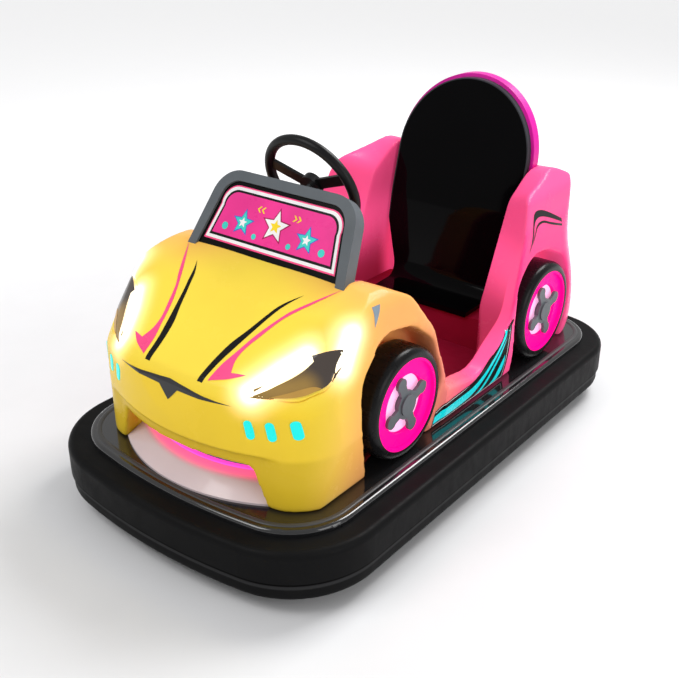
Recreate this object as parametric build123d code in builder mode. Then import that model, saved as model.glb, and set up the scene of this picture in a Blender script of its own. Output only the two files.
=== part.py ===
from build123d import *
import math
import os

os.makedirs("parts", exist_ok=True)

# Frame: millimetres, +Z up, the car drives towards -Y, its left side is +X.
# The origin is on the floor, under the middle of the bumper's outline.

# Bumper, deck and frame heights
LENGTH = 1960.0
WIDTH = 1150.0
GROUND_CLEARANCE = 50.0
BUMPER_SPLIT = 111.0
BUMPER_TOP = 216.0
DECK_TOP = 237.0
FRAME_BOTTOM = 176.0

# Bumper outline in plan
FRONT_CORNER_R = 295.0
REAR_CORNER_R = 240.0
BOW_R = 2000.0
BUMPER_BAND = 110.0
LOWER_INSET = 6.0
BUMPER_EDGE_R = 22.0
DECK_INSET = 73.0
DECK_EDGE_R = 12.0

# Steel frame
RAIL_W = 45.0
RAIL_X = 180.0
CROSS_FRONT_Y = -320.0
CROSS_SEAT_Y = 120.0
PIVOT_PLATE_T = 16.0
JACK_PAD_L = 90.0
JACK_PAD_T = 5.0

# Body shell in plan
BODY_SIDE_GAP = 129.0
BODY_FOOT_IN = 22.0
BODY_NOSE_Y = -868.0
BODY_NOSE_BOW_R = 760.0
BODY_NOSE_CORNER_R = 180.0
BODY_TAIL_Y = 892.0
BODY_TAIL_BOW_R = 1200.0
BODY_TAIL_CORNER_R = 150.0
BODY_SEAM_Y = -105.0

# Cockpit and foot space
FOOTWELL_HALF = 285.0
FOOTWELL_NOSE_Y = -640.0
SCUTTLE_Y = -400.0
COCKPIT_WALL = 61.0
COCKPIT_NARROW_Y = 170.0
COCKPIT_BACK_Y = 330.0
COCKPIT_BACK_HALF = 286.0
SILL_Z = 374.0
FLANK_OUT = 10.0
COCKPIT_CORNER_R = 90.0
FLOOR_T = 4.0
FIT = 0.3

# Mouth in the nose, with its lip tray, light and mesh
MOUTH_TOP = 330.0
MOUTH_BOTTOM_HALF = 298.0
MOUTH_TOP_HALF = 255.0
TRAY_NOSE_Y = -872.0
TRAY_R = 550.0
TRAY_DEPTH = 85.0
TRAY_LIP = 7.0
TRAY_RISE = 58.0
LIGHT_W = 12.0
MESH_T = 6.0
MOUTH_CORNER_R = 22.0

# Lamps and trim let into the nose
LAMP_DEPTH = 34.0
NOSE_TRIM_T = 4.0
LED_W = 22.0
LED_H = 58.0
LED_T = 9.0
LED_BACK_Y = -668.0
LED_LEAN = 10.0
TAIL_LAMP_W = 60.0
TAIL_LAMP_H = 46.0
TAIL_LAMP_OUT = 9.0
TAIL_LAMP_X = 345.0
TAIL_LAMP_Z = 592.0
TAIL_LAMP_R = 14.0

# Show wheels that stand on the deck in the body's arches
SHOW_TYRE_R = 178.0
SHOW_RIM_R = 147.0
SHOW_TYRE_W = 110.0
SHOW_FACE_X = 452.0
SHOW_FRONT_Y = -336.0
SHOW_REAR_Y = 511.0
ARCH_INNER_X = 334.0
TYRE_SHOULDER_R = 26.0
RIM_DISH = 14.0
RIM_T = 8.0
RIM_LIP = 2.0
RECESS_R = 95.0
RECESS_DEPTH = 12.0
HUB_R = 34.0
HUB_T = 16.0
CAP_R = 46.0
SPOKE_REACH = 102.0
SPOKE_W = 32.0
SPOKE_END_R = 21.0
SPOKE_T = 10.0
SPOKE_TURN = 20.0

# Seat
SEAT_HALF = 272.0
SEAT_LIP_HALF = 200.0
SEAT_T = 22.0
SEAT_LIP_Y = 380.0
SEAT_LIP_Z = 386.0
SEAT_BEND_Y = 525.0
SEAT_BEND_Z = 392.0
SEAT_BEND_R = 70.0
SEAT_BACK_Y = 572.0
SEAT_BACK_Z = 700.0
SEAT_BACK_R = 700.0
SEAT_HEAD_Y = 700.0
SEAT_HEAD_RISE = 40.0
SEAT_WAIST_Z = 600.0
SEAT_TOP_Z = 1146.0
COVER_T = 36.0
COVER_EDGE = 12.0
SEAT_BASE_FRONT_Y = 395.0
SEAT_BASE_BACK_Y = 600.0
SEAT_BASE_WALL = 6.0
BATTERY_L = 130.0
BATTERY_W = 340.0
BATTERY_H = 100.0

# Windscreen, in its own leaning plane
SCREEN_BASE_Y = -455.0
SCREEN_BASE_Z = 790.0
SCREEN_LEAN = 31.3
SCREEN_HEIGHT = 250.0
SCREEN_BASE_HALF = 308.0
SCREEN_TOP_HALF = 262.0
SCREEN_CORNER_R = 95.0
SCREEN_FOOT = 15.0
SCREEN_FRAME_W = 32.0
SCREEN_FRAME_FRONT = 8.0
SCREEN_FRAME_BACK = 38.0
SCREEN_PANEL_T = 8.0
DASH_HALF = 235.0
DASH_BACK_Y = -330.0
DASH_TOP_Z = 935.0
DASH_BOTTOM_Z = 766.0
DASH_GAP = 4.0
DASH_RAKE = 6.0
DASH_EDGE_R = 12.0

# Steering wheel, column and their boss on the dash
WHEEL_Y = -229.0
WHEEL_Z = 974.0
WHEEL_TILT = 22.0
WHEEL_R = 160.0
WHEEL_GRIP_R = 16.0
WHEEL_HUB_R = 36.0
WHEEL_HUB_T = 26.0
WHEEL_SPOKE_W = 34.0
WHEEL_SPOKE_T = 10.0
WHEEL_SPOKE_ANGLES = (20.0, 160.0, 270.0)
SHAFT_R = 11.0
SHAFT_L = 112.0
BOSS_R = 26.0
BOSS_START = 84.0
BOSS_L = 34.0
RUNNING_GAP = 0.05

# Running gear under the frame
DRIVE_Y = -520.0
DRIVE_TYRE_R = 90.0
DRIVE_TYRE_W = 50.0
REAR_TYRE_R = 75.0
REAR_TYRE_W = 45.0
REAR_AXLE_Y = 560.0
REAR_TRACK_IN = 100.0
HUB_SHARE = 0.62
AXLE_R = 10.0
KINGPIN_R = 15.0
CROWN_R = 58.0
CROWN_T = 11.0
FORK_T = 8.0
FORK_END_R = 24.0
WHEEL_SIDE_GAP = 6.0
TYRE_FIT = 0.2
BEAM = 30.0

HALF_L = LENGTH / 2
HALF_W = WIDTH / 2
BODY_HALF = HALF_W - BODY_SIDE_GAP
COCKPIT_HALF = BODY_HALF - COCKPIT_WALL
REAR_TRACK_HALF = HALF_W - BUMPER_BAND - REAR_TRACK_IN
SHOW_Z = DECK_TOP + SHOW_TYRE_R + FIT


def write(node, name):
    node.part.label = name
    export_step(node.part, f"parts/{name}.step")


def bow_drop(radius, half):
    # How far a shallow arc falls back at this half width
    return radius - math.sqrt(radius**2 - half**2)


def plan_outline(nose_y, tail_y, half, nose_r, tail_r, nose_bow, tail_bow, inset=0.0):
    nose_side = nose_y + bow_drop(nose_bow, half)
    tail_side = tail_y - bow_drop(tail_bow, half)
    with BuildSketch() as outline:
        with BuildLine():
            ThreePointArc((-half, nose_side), (0, nose_y), (half, nose_side))
            Line((half, nose_side), (half, tail_side))
            ThreePointArc((half, tail_side), (0, tail_y), (-half, tail_side))
            Line((-half, tail_side), (-half, nose_side))
        make_face()
        fillet(outline.vertices().group_by(Axis.Y)[0], nose_r)
        fillet(outline.vertices().group_by(Axis.Y)[-1], tail_r)
        if inset:
            offset(amount=-inset, kind=Kind.INTERSECTION)
    return outline.sketch


def bumper_plan(inset):
    return plan_outline(-HALF_L, HALF_L, HALF_W, FRONT_CORNER_R, REAR_CORNER_R, BOW_R, BOW_R, inset)


def rounded_polygon(rows):
    # Closed outline from rows of two coordinates and a corner radius
    with BuildSketch() as outline:
        with BuildLine():
            Polyline(*[(a, b) for a, b, r in rows], close=True)
        make_face()
        for a, b, r in rows:
            if r:
                fillet(outline.vertices().sort_by_distance((a, b, 0))[0], r)
    return outline.sketch


bumper_outer = bumper_plan(0)
bumper_lower_outer = bumper_plan(LOWER_INSET)
bumper_hole = bumper_plan(BUMPER_BAND)
deck_outline = bumper_plan(DECK_INSET)
frame_hole = bumper_plan(BUMPER_BAND + RAIL_W)
body_outline = plan_outline(
    BODY_NOSE_Y,
    BODY_TAIL_Y,
    BODY_HALF,
    BODY_NOSE_CORNER_R,
    BODY_TAIL_CORNER_R,
    BODY_NOSE_BOW_R,
    BODY_TAIL_BOW_R,
)

# Rubber bumper in two stacked rings
with BuildPart() as bumper_upper:
    with BuildSketch(Plane.XY.offset(BUMPER_SPLIT)):
        add(bumper_outer)
    extrude(amount=BUMPER_TOP - BUMPER_SPLIT)
    fillet(bumper_upper.faces().sort_by(Axis.Z)[-1].edges(), BUMPER_EDGE_R)
    with BuildSketch(Plane.XY.offset(BUMPER_SPLIT)):
        add(bumper_hole)
    extrude(amount=BUMPER_TOP - BUMPER_SPLIT, mode=Mode.SUBTRACT)

with BuildPart() as bumper_lower:
    with BuildSketch(Plane.XY.offset(GROUND_CLEARANCE)):
        add(bumper_lower_outer)
    extrude(amount=BUMPER_SPLIT - GROUND_CLEARANCE)
    fillet(bumper_lower.faces().sort_by(Axis.Z)[0].edges(), BUMPER_EDGE_R)
    with BuildSketch(Plane.XY.offset(GROUND_CLEARANCE)):
        add(bumper_hole)
    extrude(amount=BUMPER_SPLIT - GROUND_CLEARANCE, mode=Mode.SUBTRACT)

# Gloss deck that laps over the bumper's inner edge
with BuildPart() as deck:
    with BuildSketch(Plane.XY.offset(BUMPER_TOP)):
        add(deck_outline)
    extrude(amount=DECK_TOP - BUMPER_TOP)
    fillet(deck.faces().sort_by(Axis.Z)[-1].edges(), DECK_EDGE_R)

# Steel frame: an edge ring with rails and a plate for the drive fork's pivot
with BuildPart() as chassis_frame:
    with BuildSketch(Plane.XY.offset(FRAME_BOTTOM)):
        add(bumper_hole)
        add(frame_hole, mode=Mode.SUBTRACT)
        with Locations((-RAIL_X, 0), (RAIL_X, 0)):
            Rectangle(RAIL_W, LENGTH)
        with Locations((0, CROSS_FRONT_Y), (0, REAR_AXLE_Y)):
            Rectangle(WIDTH, RAIL_W)
        with Locations((0, CROSS_SEAT_Y)):
            Rectangle(2 * RAIL_X, RAIL_W)
        add(bumper_hole, mode=Mode.INTERSECT)
    extrude(amount=BUMPER_TOP - FRAME_BOTTOM)
    with BuildSketch(Plane.XY.offset(BUMPER_TOP)):
        with Locations((0, (CROSS_FRONT_Y - HALF_L) / 2)):
            Rectangle(2 * RAIL_X, HALF_L + CROSS_FRONT_Y)
        add(bumper_hole, mode=Mode.INTERSECT)
    extrude(amount=-PIVOT_PLATE_T)
    with Locations((0, DRIVE_Y, BUMPER_TOP)):
        Hole(KINGPIN_R + RUNNING_GAP)
    with BuildSketch(Plane.XY.offset(FRAME_BOTTOM)):
        with Locations((-RAIL_X, 0), (RAIL_X, 0)):
            Rectangle(RAIL_W, JACK_PAD_L)
    extrude(amount=-JACK_PAD_T)

# Front views of the bonnet and of the tail: half width, height, corner radius
BONNET_FRONT_VIEW = [
    (BODY_HALF - BODY_FOOT_IN, DECK_TOP, 0),
    (BODY_HALF, 420.0, 120),
    (BODY_HALF - 5, 620.0, 120),
    (BODY_HALF - 27, 768.0, 70),
    (BODY_HALF - 146, 846.0, 0),
]
TAIL_FRONT_VIEW = [
    (BODY_HALF + 9, DECK_TOP, 0),
    (BODY_HALF + 9, 640.0, 0),
    (BODY_HALF - 34, 835.0, 60),
    (BODY_HALF - 120, 915.0, 0),
]

# Side view of the nose's rake: y, z, corner radius
NOSE_SIDE_VIEW = [
    (-812.0, DECK_TOP, 0),
    (-880.0, 358.0, 40),
    (-858.0, 560.0, 40),
    (-800.0, 846.0, 0),
    (BODY_SEAM_Y, 846.0, 0),
    (BODY_SEAM_Y, DECK_TOP, 0),
]

# The bonnet's top, as side views at these half widths: the nose's edge, the lip
# over it, the crest and the scuttle, each as y, z
BONNET_ROWS = [
    # half, edge_y, edge_z, lip_y, lip_z, crest_y, crest_z, scuttle_y, scuttle_z
    (0.0, -866.0, 552.0, -832.0, 594.0, -590.0, 738.0, -440.0, 800.0),
    (210.0, -848.0, 552.0, -815.0, 600.0, -590.0, 738.0, -440.0, 800.0),
    (330.0, -799.0, 545.0, -752.0, 598.0, -582.0, 745.0, -440.0, 797.0),
    (400.0, -752.0, 520.0, -691.0, 609.0, -568.0, 752.0, -452.0, 790.0),
    (460.0, -700.0, 480.0, -620.0, 590.0, -530.0, 715.0, -445.0, 770.0),
]
NOSE_RUN = 80.0
NOSE_FALL = 30.0
WING_VIEW = [
    (-385.0, 792.0, 60),
    (-286.0, 742.0, 90),
    (-184.0, 600.0, 150),
    (BODY_SEAM_Y, SILL_Z, 0),
    (BODY_SEAM_Y, DECK_TOP, 0),
]

# Side views of the sills and rear quarters at these half widths: the dip of the
# sill, the knee where the wall rises and its top corner, each as y, z, radius
REAR_ROWS = [
    # half, dip_y, dip_z, dip_r, knee_y, knee_z, knee_r, top_y, top_z, top_r
    (COCKPIT_BACK_HALF, 60.0, 374.0, 200.0, 330.0, 462.0, 120.0, 482.0, 800.0, 80.0),
    (BODY_HALF + FLANK_OUT, 130.0, 322.0, 150.0, 272.0, 460.0, 100.0, 358.0, 880.0, 60.0),
]
REAR_CREST_Y = 640.0
REAR_CREST_Z = 905.0
REAR_CREST_R = 150.0
REAR_END_Y = 900.0
REAR_END_Z = 772.0

# Plans of the tail: height, half width and the middle of the tail
TAIL_ROWS = [
    # z, half, tail_y
    (DECK_TOP, BODY_HALF - BODY_FOOT_IN, BODY_TAIL_Y - 8),
    (330.0, BODY_HALF - 5, BODY_TAIL_Y),
    (420.0, BODY_HALF, BODY_TAIL_Y - 12),
    (510.0, BODY_HALF - 1, BODY_TAIL_Y - 34),
    (632.0, BODY_HALF - 6, BODY_TAIL_Y - 76),
    (716.0, BODY_HALF - 10, BODY_TAIL_Y - 86),
    (824.0, BODY_HALF - 20, BODY_TAIL_Y - 72),
    (930.0, BODY_HALF - 36, BODY_TAIL_Y - 62),
]

# Wheel arches in side view, at the body's side and at their inner panel: y, z,
# corner radius. The rear one narrows inwards, behind the slanted wall.
FRONT_ARCH = [
    (-500.0, DECK_TOP, 0),
    (-548.0, 430.0, 100),
    (-545.0, 575.0, 110),
    (-440.0, 682.0, 110),
    (-290.0, 652.0, 120),
    (-188.0, 570.0, 100),
    (-143.0, 425.0, 100),
    (-196.0, DECK_TOP, 0),
]
REAR_ARCH = [
    (330.0, DECK_TOP, 0),
    (302.0, 430.0, 100),
    (308.0, 572.0, 110),
    (392.0, 654.0, 110),
    (505.0, 648.0, 150),
    (640.0, 588.0, 130),
    (702.0, 450.0, 100),
    (700.0, DECK_TOP, 0),
]
REAR_ARCH_INNER = [
    (345.0, DECK_TOP, 0),
    (330.0, 430.0, 100),
    (368.0, 570.0, 110),
    (432.0, 640.0, 80),
    (520.0, 645.0, 110),
    (640.0, 588.0, 130),
    (702.0, 450.0, 100),
    (700.0, DECK_TOP, 0),
]

# Foot space under the bonnet, open to the cockpit: y, z, corner radius
FOOTWELL_VIEW = [
    (BODY_SEAM_Y, DECK_TOP, 0),
    (FOOTWELL_NOSE_Y, DECK_TOP, 0),
    (FOOTWELL_NOSE_Y, 620, 60),
    (-480, 742, 80),
    (SCUTTLE_Y, 762, 0),
    (SCUTTLE_Y, 1000, 0),
    (BODY_SEAM_Y, 1000, 0),
]

# Space between the side walls: in plan, then in side view, with corner radii
COCKPIT_PLAN = [
    (-COCKPIT_HALF, BODY_SEAM_Y, 0),
    (COCKPIT_HALF, BODY_SEAM_Y, 0),
    (COCKPIT_HALF, COCKPIT_NARROW_Y, COCKPIT_CORNER_R),
    (COCKPIT_BACK_HALF, COCKPIT_BACK_Y, COCKPIT_CORNER_R),
    (COCKPIT_BACK_HALF, HALF_L, 0),
    (-COCKPIT_BACK_HALF, HALF_L, 0),
    (-COCKPIT_BACK_HALF, COCKPIT_BACK_Y, COCKPIT_CORNER_R),
    (-COCKPIT_HALF, COCKPIT_NARROW_Y, COCKPIT_CORNER_R),
]
COCKPIT_VIEW = [
    (SEAT_BASE_BACK_Y, DECK_TOP, 0),
    (SEAT_BASE_BACK_Y, 500, 0),
    (SEAT_BASE_BACK_Y + 20, 700, 0),
    (SEAT_BASE_BACK_Y + 130, SEAT_TOP_Z, 0),
    (BODY_SEAM_Y - FIT, SEAT_TOP_Z, 0),
    (BODY_SEAM_Y - FIT, DECK_TOP, 0),
]


def mirrored(rows):
    # A closed outline from the rows of its right half, bottom to top
    return rounded_polygon(rows + [(-x, z, r) for x, z, r in reversed(rows)])


def wheel_houses(outer_rows, inner_rows):
    # An arch on each side, from the body's side to its inner panel
    outer = rounded_polygon(outer_rows)
    inner = rounded_polygon(inner_rows)
    with BuildPart() as houses:
        with BuildSketch(Plane.YZ.offset(ARCH_INNER_X)):
            add(inner)
        with BuildSketch(Plane.YZ.offset(BODY_HALF + FLANK_OUT)):
            add(outer)
        loft(ruled=True)
        mirror(about=Plane.YZ)
    return houses.part


def seat_strip(start, end):
    # Side view of the layer between two distances behind the seat's front face
    path = [
        (SEAT_LIP_Y, SEAT_LIP_Z),
        (SEAT_BEND_Y, SEAT_BEND_Z),
        (SEAT_BACK_Y, SEAT_BACK_Z),
        (SEAT_HEAD_Y, SEAT_TOP_Z + SEAT_HEAD_RISE),
    ]
    with BuildLine() as front:
        FilletPolyline(*path, radius=[SEAT_BEND_R, SEAT_BACK_R])
    near = offset(front.line, amount=start, side=Side.RIGHT, closed=False) if start else front.line
    far = offset(front.line, amount=end, side=Side.RIGHT, closed=False)
    with BuildSketch() as strip:
        with BuildLine():
            add(near)
            add(far)
            Line(near @ 0, far @ 0)
            Line(near @ 1, far @ 1)
        make_face()
    return strip.sketch


def head_outline(edge, bottom):
    # Front view of the seat from this height, grown at its edge, with a round head
    half = SEAT_HALF + edge
    lip = SEAT_LIP_HALF + edge
    shoulder = SEAT_TOP_Z - SEAT_HALF
    waist = SEAT_WAIST_Z
    with BuildSketch() as outline:
        with BuildLine():
            Polyline((-half, shoulder), (-half, waist), (-lip, bottom))
            Line((-lip, bottom), (lip, bottom))
            Polyline((lip, bottom), (half, waist), (half, shoulder))
            ThreePointArc((half, shoulder), (0, SEAT_TOP_Z + edge), (-half, shoulder))
        make_face()
    return outline.sketch


bonnet_sections = []
for half, edge_y, edge_z, lip_y, lip_z, crest_y, crest_z, scuttle_y, scuttle_z in BONNET_ROWS:
    section = rounded_polygon(
        [
            (edge_y - NOSE_RUN, DECK_TOP, 0),
            (edge_y - NOSE_RUN, edge_z - NOSE_FALL, 0),
            (edge_y, edge_z, 0),
            (lip_y, lip_z, 30),
            (crest_y, crest_z, 150),
            (scuttle_y, scuttle_z, 60),
            *WING_VIEW,
        ]
    )
    bonnet_sections.append((half, section))
    if half:
        bonnet_sections.insert(0, (-half, section))

with BuildPart() as bonnet_top:
    for x, section in bonnet_sections:
        with BuildSketch(Plane.YZ.offset(x)):
            add(section)
    loft()

nose_side_view = rounded_polygon(NOSE_SIDE_VIEW)
bonnet_front_view = mirrored(BONNET_FRONT_VIEW)
with BuildPart() as front_block:
    with BuildSketch(Plane.YZ):
        add(nose_side_view)
    extrude(amount=WIDTH, both=True)
    with BuildSketch(Plane.XY.offset(DECK_TOP)):
        add(body_outline)
    extrude(amount=SEAT_TOP_Z, mode=Mode.INTERSECT)
    with BuildSketch(Plane.XZ):
        add(bonnet_front_view)
    extrude(amount=LENGTH, both=True, mode=Mode.INTERSECT)
    add(bonnet_top.part, mode=Mode.INTERSECT)

front_envelope = front_block.part

tail_plans = []
for z, half, tail_y in TAIL_ROWS:
    side_y = tail_y - bow_drop(BODY_TAIL_BOW_R, half)
    with BuildSketch(Plane.XY.offset(z)) as tail_plan:
        with BuildLine():
            Polyline((half, side_y), (half, BODY_SEAM_Y), (-half, BODY_SEAM_Y), (-half, side_y))
            ThreePointArc((-half, side_y), (0, tail_y), (half, side_y))
        make_face()
        fillet(tail_plan.vertices().group_by(Axis.Y)[-1], BODY_TAIL_CORNER_R)
    tail_plans.append(tail_plan.sketch)

rear_sections = []
for half, dip_y, dip_z, dip_r, knee_y, knee_z, knee_r, top_y, top_z, top_r in REAR_ROWS:
    section = rounded_polygon(
        [
            (BODY_SEAM_Y, DECK_TOP, 0),
            (BODY_SEAM_Y, SILL_Z, 0),
            (dip_y, dip_z, dip_r),
            (knee_y, knee_z, knee_r),
            (top_y, top_z, top_r),
            (REAR_CREST_Y, REAR_CREST_Z, REAR_CREST_R),
            (REAR_END_Y, REAR_END_Z, 0),
            (REAR_END_Y, DECK_TOP, 0),
        ]
    )
    rear_sections.append((half, section))
    rear_sections.insert(0, (-half, section))

with BuildPart() as rear_sides:
    for x, section in rear_sections:
        with BuildSketch(Plane.YZ.offset(x)):
            add(section)
    loft(ruled=True)

tail_front_view = mirrored(TAIL_FRONT_VIEW)
with BuildPart() as rear_block:
    loft(tail_plans)
    add(rear_sides.part, mode=Mode.INTERSECT)
    with BuildSketch(Plane.XZ):
        add(tail_front_view)
    extrude(amount=LENGTH, both=True, mode=Mode.INTERSECT)

rear_envelope = rear_block.part
front_houses = wheel_houses(FRONT_ARCH, FRONT_ARCH)
rear_houses = wheel_houses(REAR_ARCH, REAR_ARCH_INNER)
footwell_view = rounded_polygon(FOOTWELL_VIEW)
cockpit_plan = rounded_polygon(COCKPIT_PLAN)
cockpit_view = rounded_polygon(COCKPIT_VIEW)
board_side = seat_strip(0, SEAT_T)
cover_side = seat_strip(SEAT_T, SEAT_T + COVER_T)
board_front = head_outline(0, SEAT_LIP_Z - SEAT_T)
cover_front = head_outline(COVER_EDGE, SEAT_LIP_Z + SEAT_T)

# Seat board over a cover that backs it, both with the same round head
with BuildPart() as seat_board:
    with BuildSketch(Plane.YZ):
        add(board_side)
    extrude(amount=HALF_W, both=True)
    with BuildSketch(Plane.XZ):
        add(board_front)
    extrude(amount=-LENGTH, mode=Mode.INTERSECT)

with BuildPart() as seat_cover:
    with BuildSketch(Plane.YZ):
        add(cover_side)
    extrude(amount=HALF_W, both=True)
    with BuildSketch(Plane.XZ):
        add(cover_front)
    extrude(amount=-LENGTH, mode=Mode.INTERSECT)

# Seat base: a box open at the bottom, round the battery that stands on the deck
SEAT_BASE_TOP = SEAT_LIP_Z - SEAT_T - FIT
SEAT_BASE_L = SEAT_BASE_BACK_Y - SEAT_BASE_FRONT_Y
SEAT_BASE_MID_Y = (SEAT_BASE_BACK_Y + SEAT_BASE_FRONT_Y) / 2
SEAT_BASE_W = 2 * (COCKPIT_BACK_HALF - FIT)
with BuildPart() as seat_base:
    with BuildSketch(Plane.XY.offset(DECK_TOP)):
        with Locations((0, SEAT_BASE_MID_Y)):
            Rectangle(SEAT_BASE_W, SEAT_BASE_L)
    extrude(amount=SEAT_BASE_TOP - DECK_TOP)
    with BuildSketch(Plane.XY.offset(DECK_TOP)):
        with Locations((0, SEAT_BASE_MID_Y)):
            Rectangle(SEAT_BASE_W - 2 * SEAT_BASE_WALL, SEAT_BASE_L - 2 * SEAT_BASE_WALL)
    extrude(amount=SEAT_BASE_TOP - DECK_TOP - SEAT_BASE_WALL, mode=Mode.SUBTRACT)

with BuildPart() as battery_box:
    with BuildSketch(Plane.XY.offset(DECK_TOP)):
        with Locations((0, SEAT_BASE_MID_Y)):
            Rectangle(BATTERY_W, BATTERY_L)
    extrude(amount=BATTERY_H)

# Mouth opening, also the shape that trims the tray, the light and the mesh
MOUTH_VIEW = [
    (MOUTH_BOTTOM_HALF, DECK_TOP, 0),
    (MOUTH_TOP_HALF, MOUTH_TOP, MOUTH_CORNER_R),
]
TRAY_AXIS_Y = TRAY_NOSE_Y + TRAY_R
mouth_view = mirrored(MOUTH_VIEW)
with BuildPart() as mouth_space:
    with BuildSketch(Plane.XZ):
        add(mouth_view)
    extrude(amount=HALF_L)
    with BuildSketch(Plane.XY.offset(DECK_TOP)):
        with Locations((0, TRAY_AXIS_Y)):
            Circle(TRAY_R - TRAY_DEPTH - LIGHT_W - MESH_T)
    extrude(amount=MOUTH_TOP - DECK_TOP, mode=Mode.SUBTRACT)


def mouth_ring(rows):
    # A ring of this section about the tray's upright axis, trimmed to the mouth
    section = rounded_polygon(rows)
    with BuildPart() as ring:
        with BuildSketch(Plane.YZ):
            add(section)
        revolve(axis=Axis((0, TRAY_AXIS_Y, 0), (0, 0, 1)))
        add(mouth_space.part, mode=Mode.INTERSECT)
    return ring


TRAY_BACK_Y = TRAY_NOSE_Y + TRAY_DEPTH
TRAY_TOP = DECK_TOP + TRAY_RISE
mouth_tray = mouth_ring(
    [
        (TRAY_NOSE_Y, DECK_TOP, 0),
        (TRAY_NOSE_Y, DECK_TOP + TRAY_LIP, 0),
        (TRAY_BACK_Y, TRAY_TOP, 0),
        (TRAY_BACK_Y, DECK_TOP, 0),
    ]
)
mouth_light = mouth_ring(
    [
        (TRAY_BACK_Y, DECK_TOP, 0),
        (TRAY_BACK_Y, TRAY_TOP + LIGHT_W / 2, 0),
        (TRAY_BACK_Y + LIGHT_W, TRAY_TOP + LIGHT_W / 2, 0),
        (TRAY_BACK_Y + LIGHT_W, DECK_TOP, 0),
    ]
)
mouth_mesh = mouth_ring(
    [
        (TRAY_BACK_Y + LIGHT_W, DECK_TOP, 0),
        (TRAY_BACK_Y + LIGHT_W, MOUTH_TOP, 0),
        (TRAY_BACK_Y + LIGHT_W + MESH_T, MOUTH_TOP, 0),
        (TRAY_BACK_Y + LIGHT_W + MESH_T, DECK_TOP, 0),
    ]
)

# Headlamp outline in the plane of the left lamp: across, up, corner radius
LAMP_OUTLINE = [
    (-123.0, -83.0, 0),
    (10.0, -78.0, 90),
    (88.0, -22.0, 60),
    (108.0, 81.0, 0),
    (24.0, 60.0, 60),
    (-64.0, -6.0, 60),
]
lamp_outline = rounded_polygon(LAMP_OUTLINE)
lamp_plane = Plane(origin=(340, -700, 640), x_dir=(0.925, 0.379, 0), z_dir=(0.234, -0.571, 0.787))
with BuildPart() as lamp_pockets:
    with BuildSketch(lamp_plane.offset(-LAMP_DEPTH)):
        add(lamp_outline)
    extrude(amount=4 * LAMP_DEPTH)
    mirror(about=Plane.YZ)

with BuildPart() as headlamps:
    add(front_envelope)
    add(lamp_pockets.part, mode=Mode.INTERSECT)

# Nose trim and light bars: a shape seen from the front, let into the nose
TRIM_OUTLINE = [
    (0.0, 511.0, 0),
    (36.0, 550.0, 8),
    (222.0, 555.0, 0),
    (0.0, 572.0, 0),
    (-222.0, 555.0, 0),
    (-36.0, 550.0, 8),
]
LED_BARS = [
    # x, z of each bar's middle on the left side
    (266.0, 491.0),
    (323.0, 494.0),
    (384.0, 504.0),
]
trim_outline = rounded_polygon(TRIM_OUTLINE)


def nose_layer(outline, thickness):
    # The part of the nose inside this front view, down to this depth
    deeper = Pos(0, thickness, 0) * front_envelope
    with BuildPart() as layer:
        with BuildSketch(Plane.XZ.offset(-LED_BACK_Y)):
            add(outline)
        extrude(amount=HALF_L + LED_BACK_Y)
        add(front_envelope, mode=Mode.INTERSECT)
        add(deeper, mode=Mode.SUBTRACT)
    return layer


with BuildSketch() as led_outline:
    for side in (-1, 1):
        with Locations(*[(side * x, z) for x, z in LED_BARS]):
            SlotOverall(LED_H, LED_W, rotation=90 + side * LED_LEAN)

nose_trim = nose_layer(trim_outline, NOSE_TRIM_T)
led_bars = nose_layer(led_outline.sketch, LED_T)

with BuildPart() as front_body:
    add(front_envelope)
    with BuildSketch(Plane.YZ):
        add(footwell_view)
    extrude(amount=FOOTWELL_HALF, both=True, mode=Mode.SUBTRACT)
    for cut in (front_houses, mouth_space.part, lamp_pockets.part, nose_trim.part, led_bars.part):
        add(cut, mode=Mode.SUBTRACT)

with BuildPart() as cockpit_space:
    with BuildSketch(Plane.XY.offset(DECK_TOP)):
        add(cockpit_plan)
    extrude(amount=SEAT_TOP_Z)
    with BuildSketch(Plane.YZ):
        add(cockpit_view)
    extrude(amount=HALF_W, both=True, mode=Mode.INTERSECT)

with BuildPart() as rear_body:
    add(rear_envelope)
    for cut in (cockpit_space.part, seat_cover.part, rear_houses):
        add(cut, mode=Mode.SUBTRACT)

# Tail lamps stand on the rear corners
tail_lamp_outline = Sketch() + [
    Pos(side * TAIL_LAMP_X, TAIL_LAMP_Z) * RectangleRounded(TAIL_LAMP_W, TAIL_LAMP_H, TAIL_LAMP_R) for side in (-1, 1)
]
stood_out = Pos(0, TAIL_LAMP_OUT, 0) * rear_envelope
with BuildPart() as tail_lamps:
    with BuildSketch(Plane.XZ.offset(-SHOW_REAR_Y)):
        add(tail_lamp_outline)
    extrude(amount=-LENGTH)
    add(stood_out, mode=Mode.INTERSECT)
    add(rear_envelope, mode=Mode.SUBTRACT)

# Crimson floor between the side walls
with BuildPart() as cockpit_floor:
    with BuildSketch(Plane.XY.offset(DECK_TOP)):
        add(cockpit_plan)
        with Locations((0, (SEAT_BASE_FRONT_Y + HALF_L) / 2)):
            Rectangle(WIDTH, HALF_L - SEAT_BASE_FRONT_Y, mode=Mode.SUBTRACT)
        with Locations((0, (FOOTWELL_NOSE_Y + BODY_SEAM_Y) / 2)):
            Rectangle(2 * FOOTWELL_HALF, BODY_SEAM_Y - FOOTWELL_NOSE_Y)
        offset(amount=-FIT, kind=Kind.INTERSECTION)
    extrude(amount=FLOOR_T)

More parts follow.
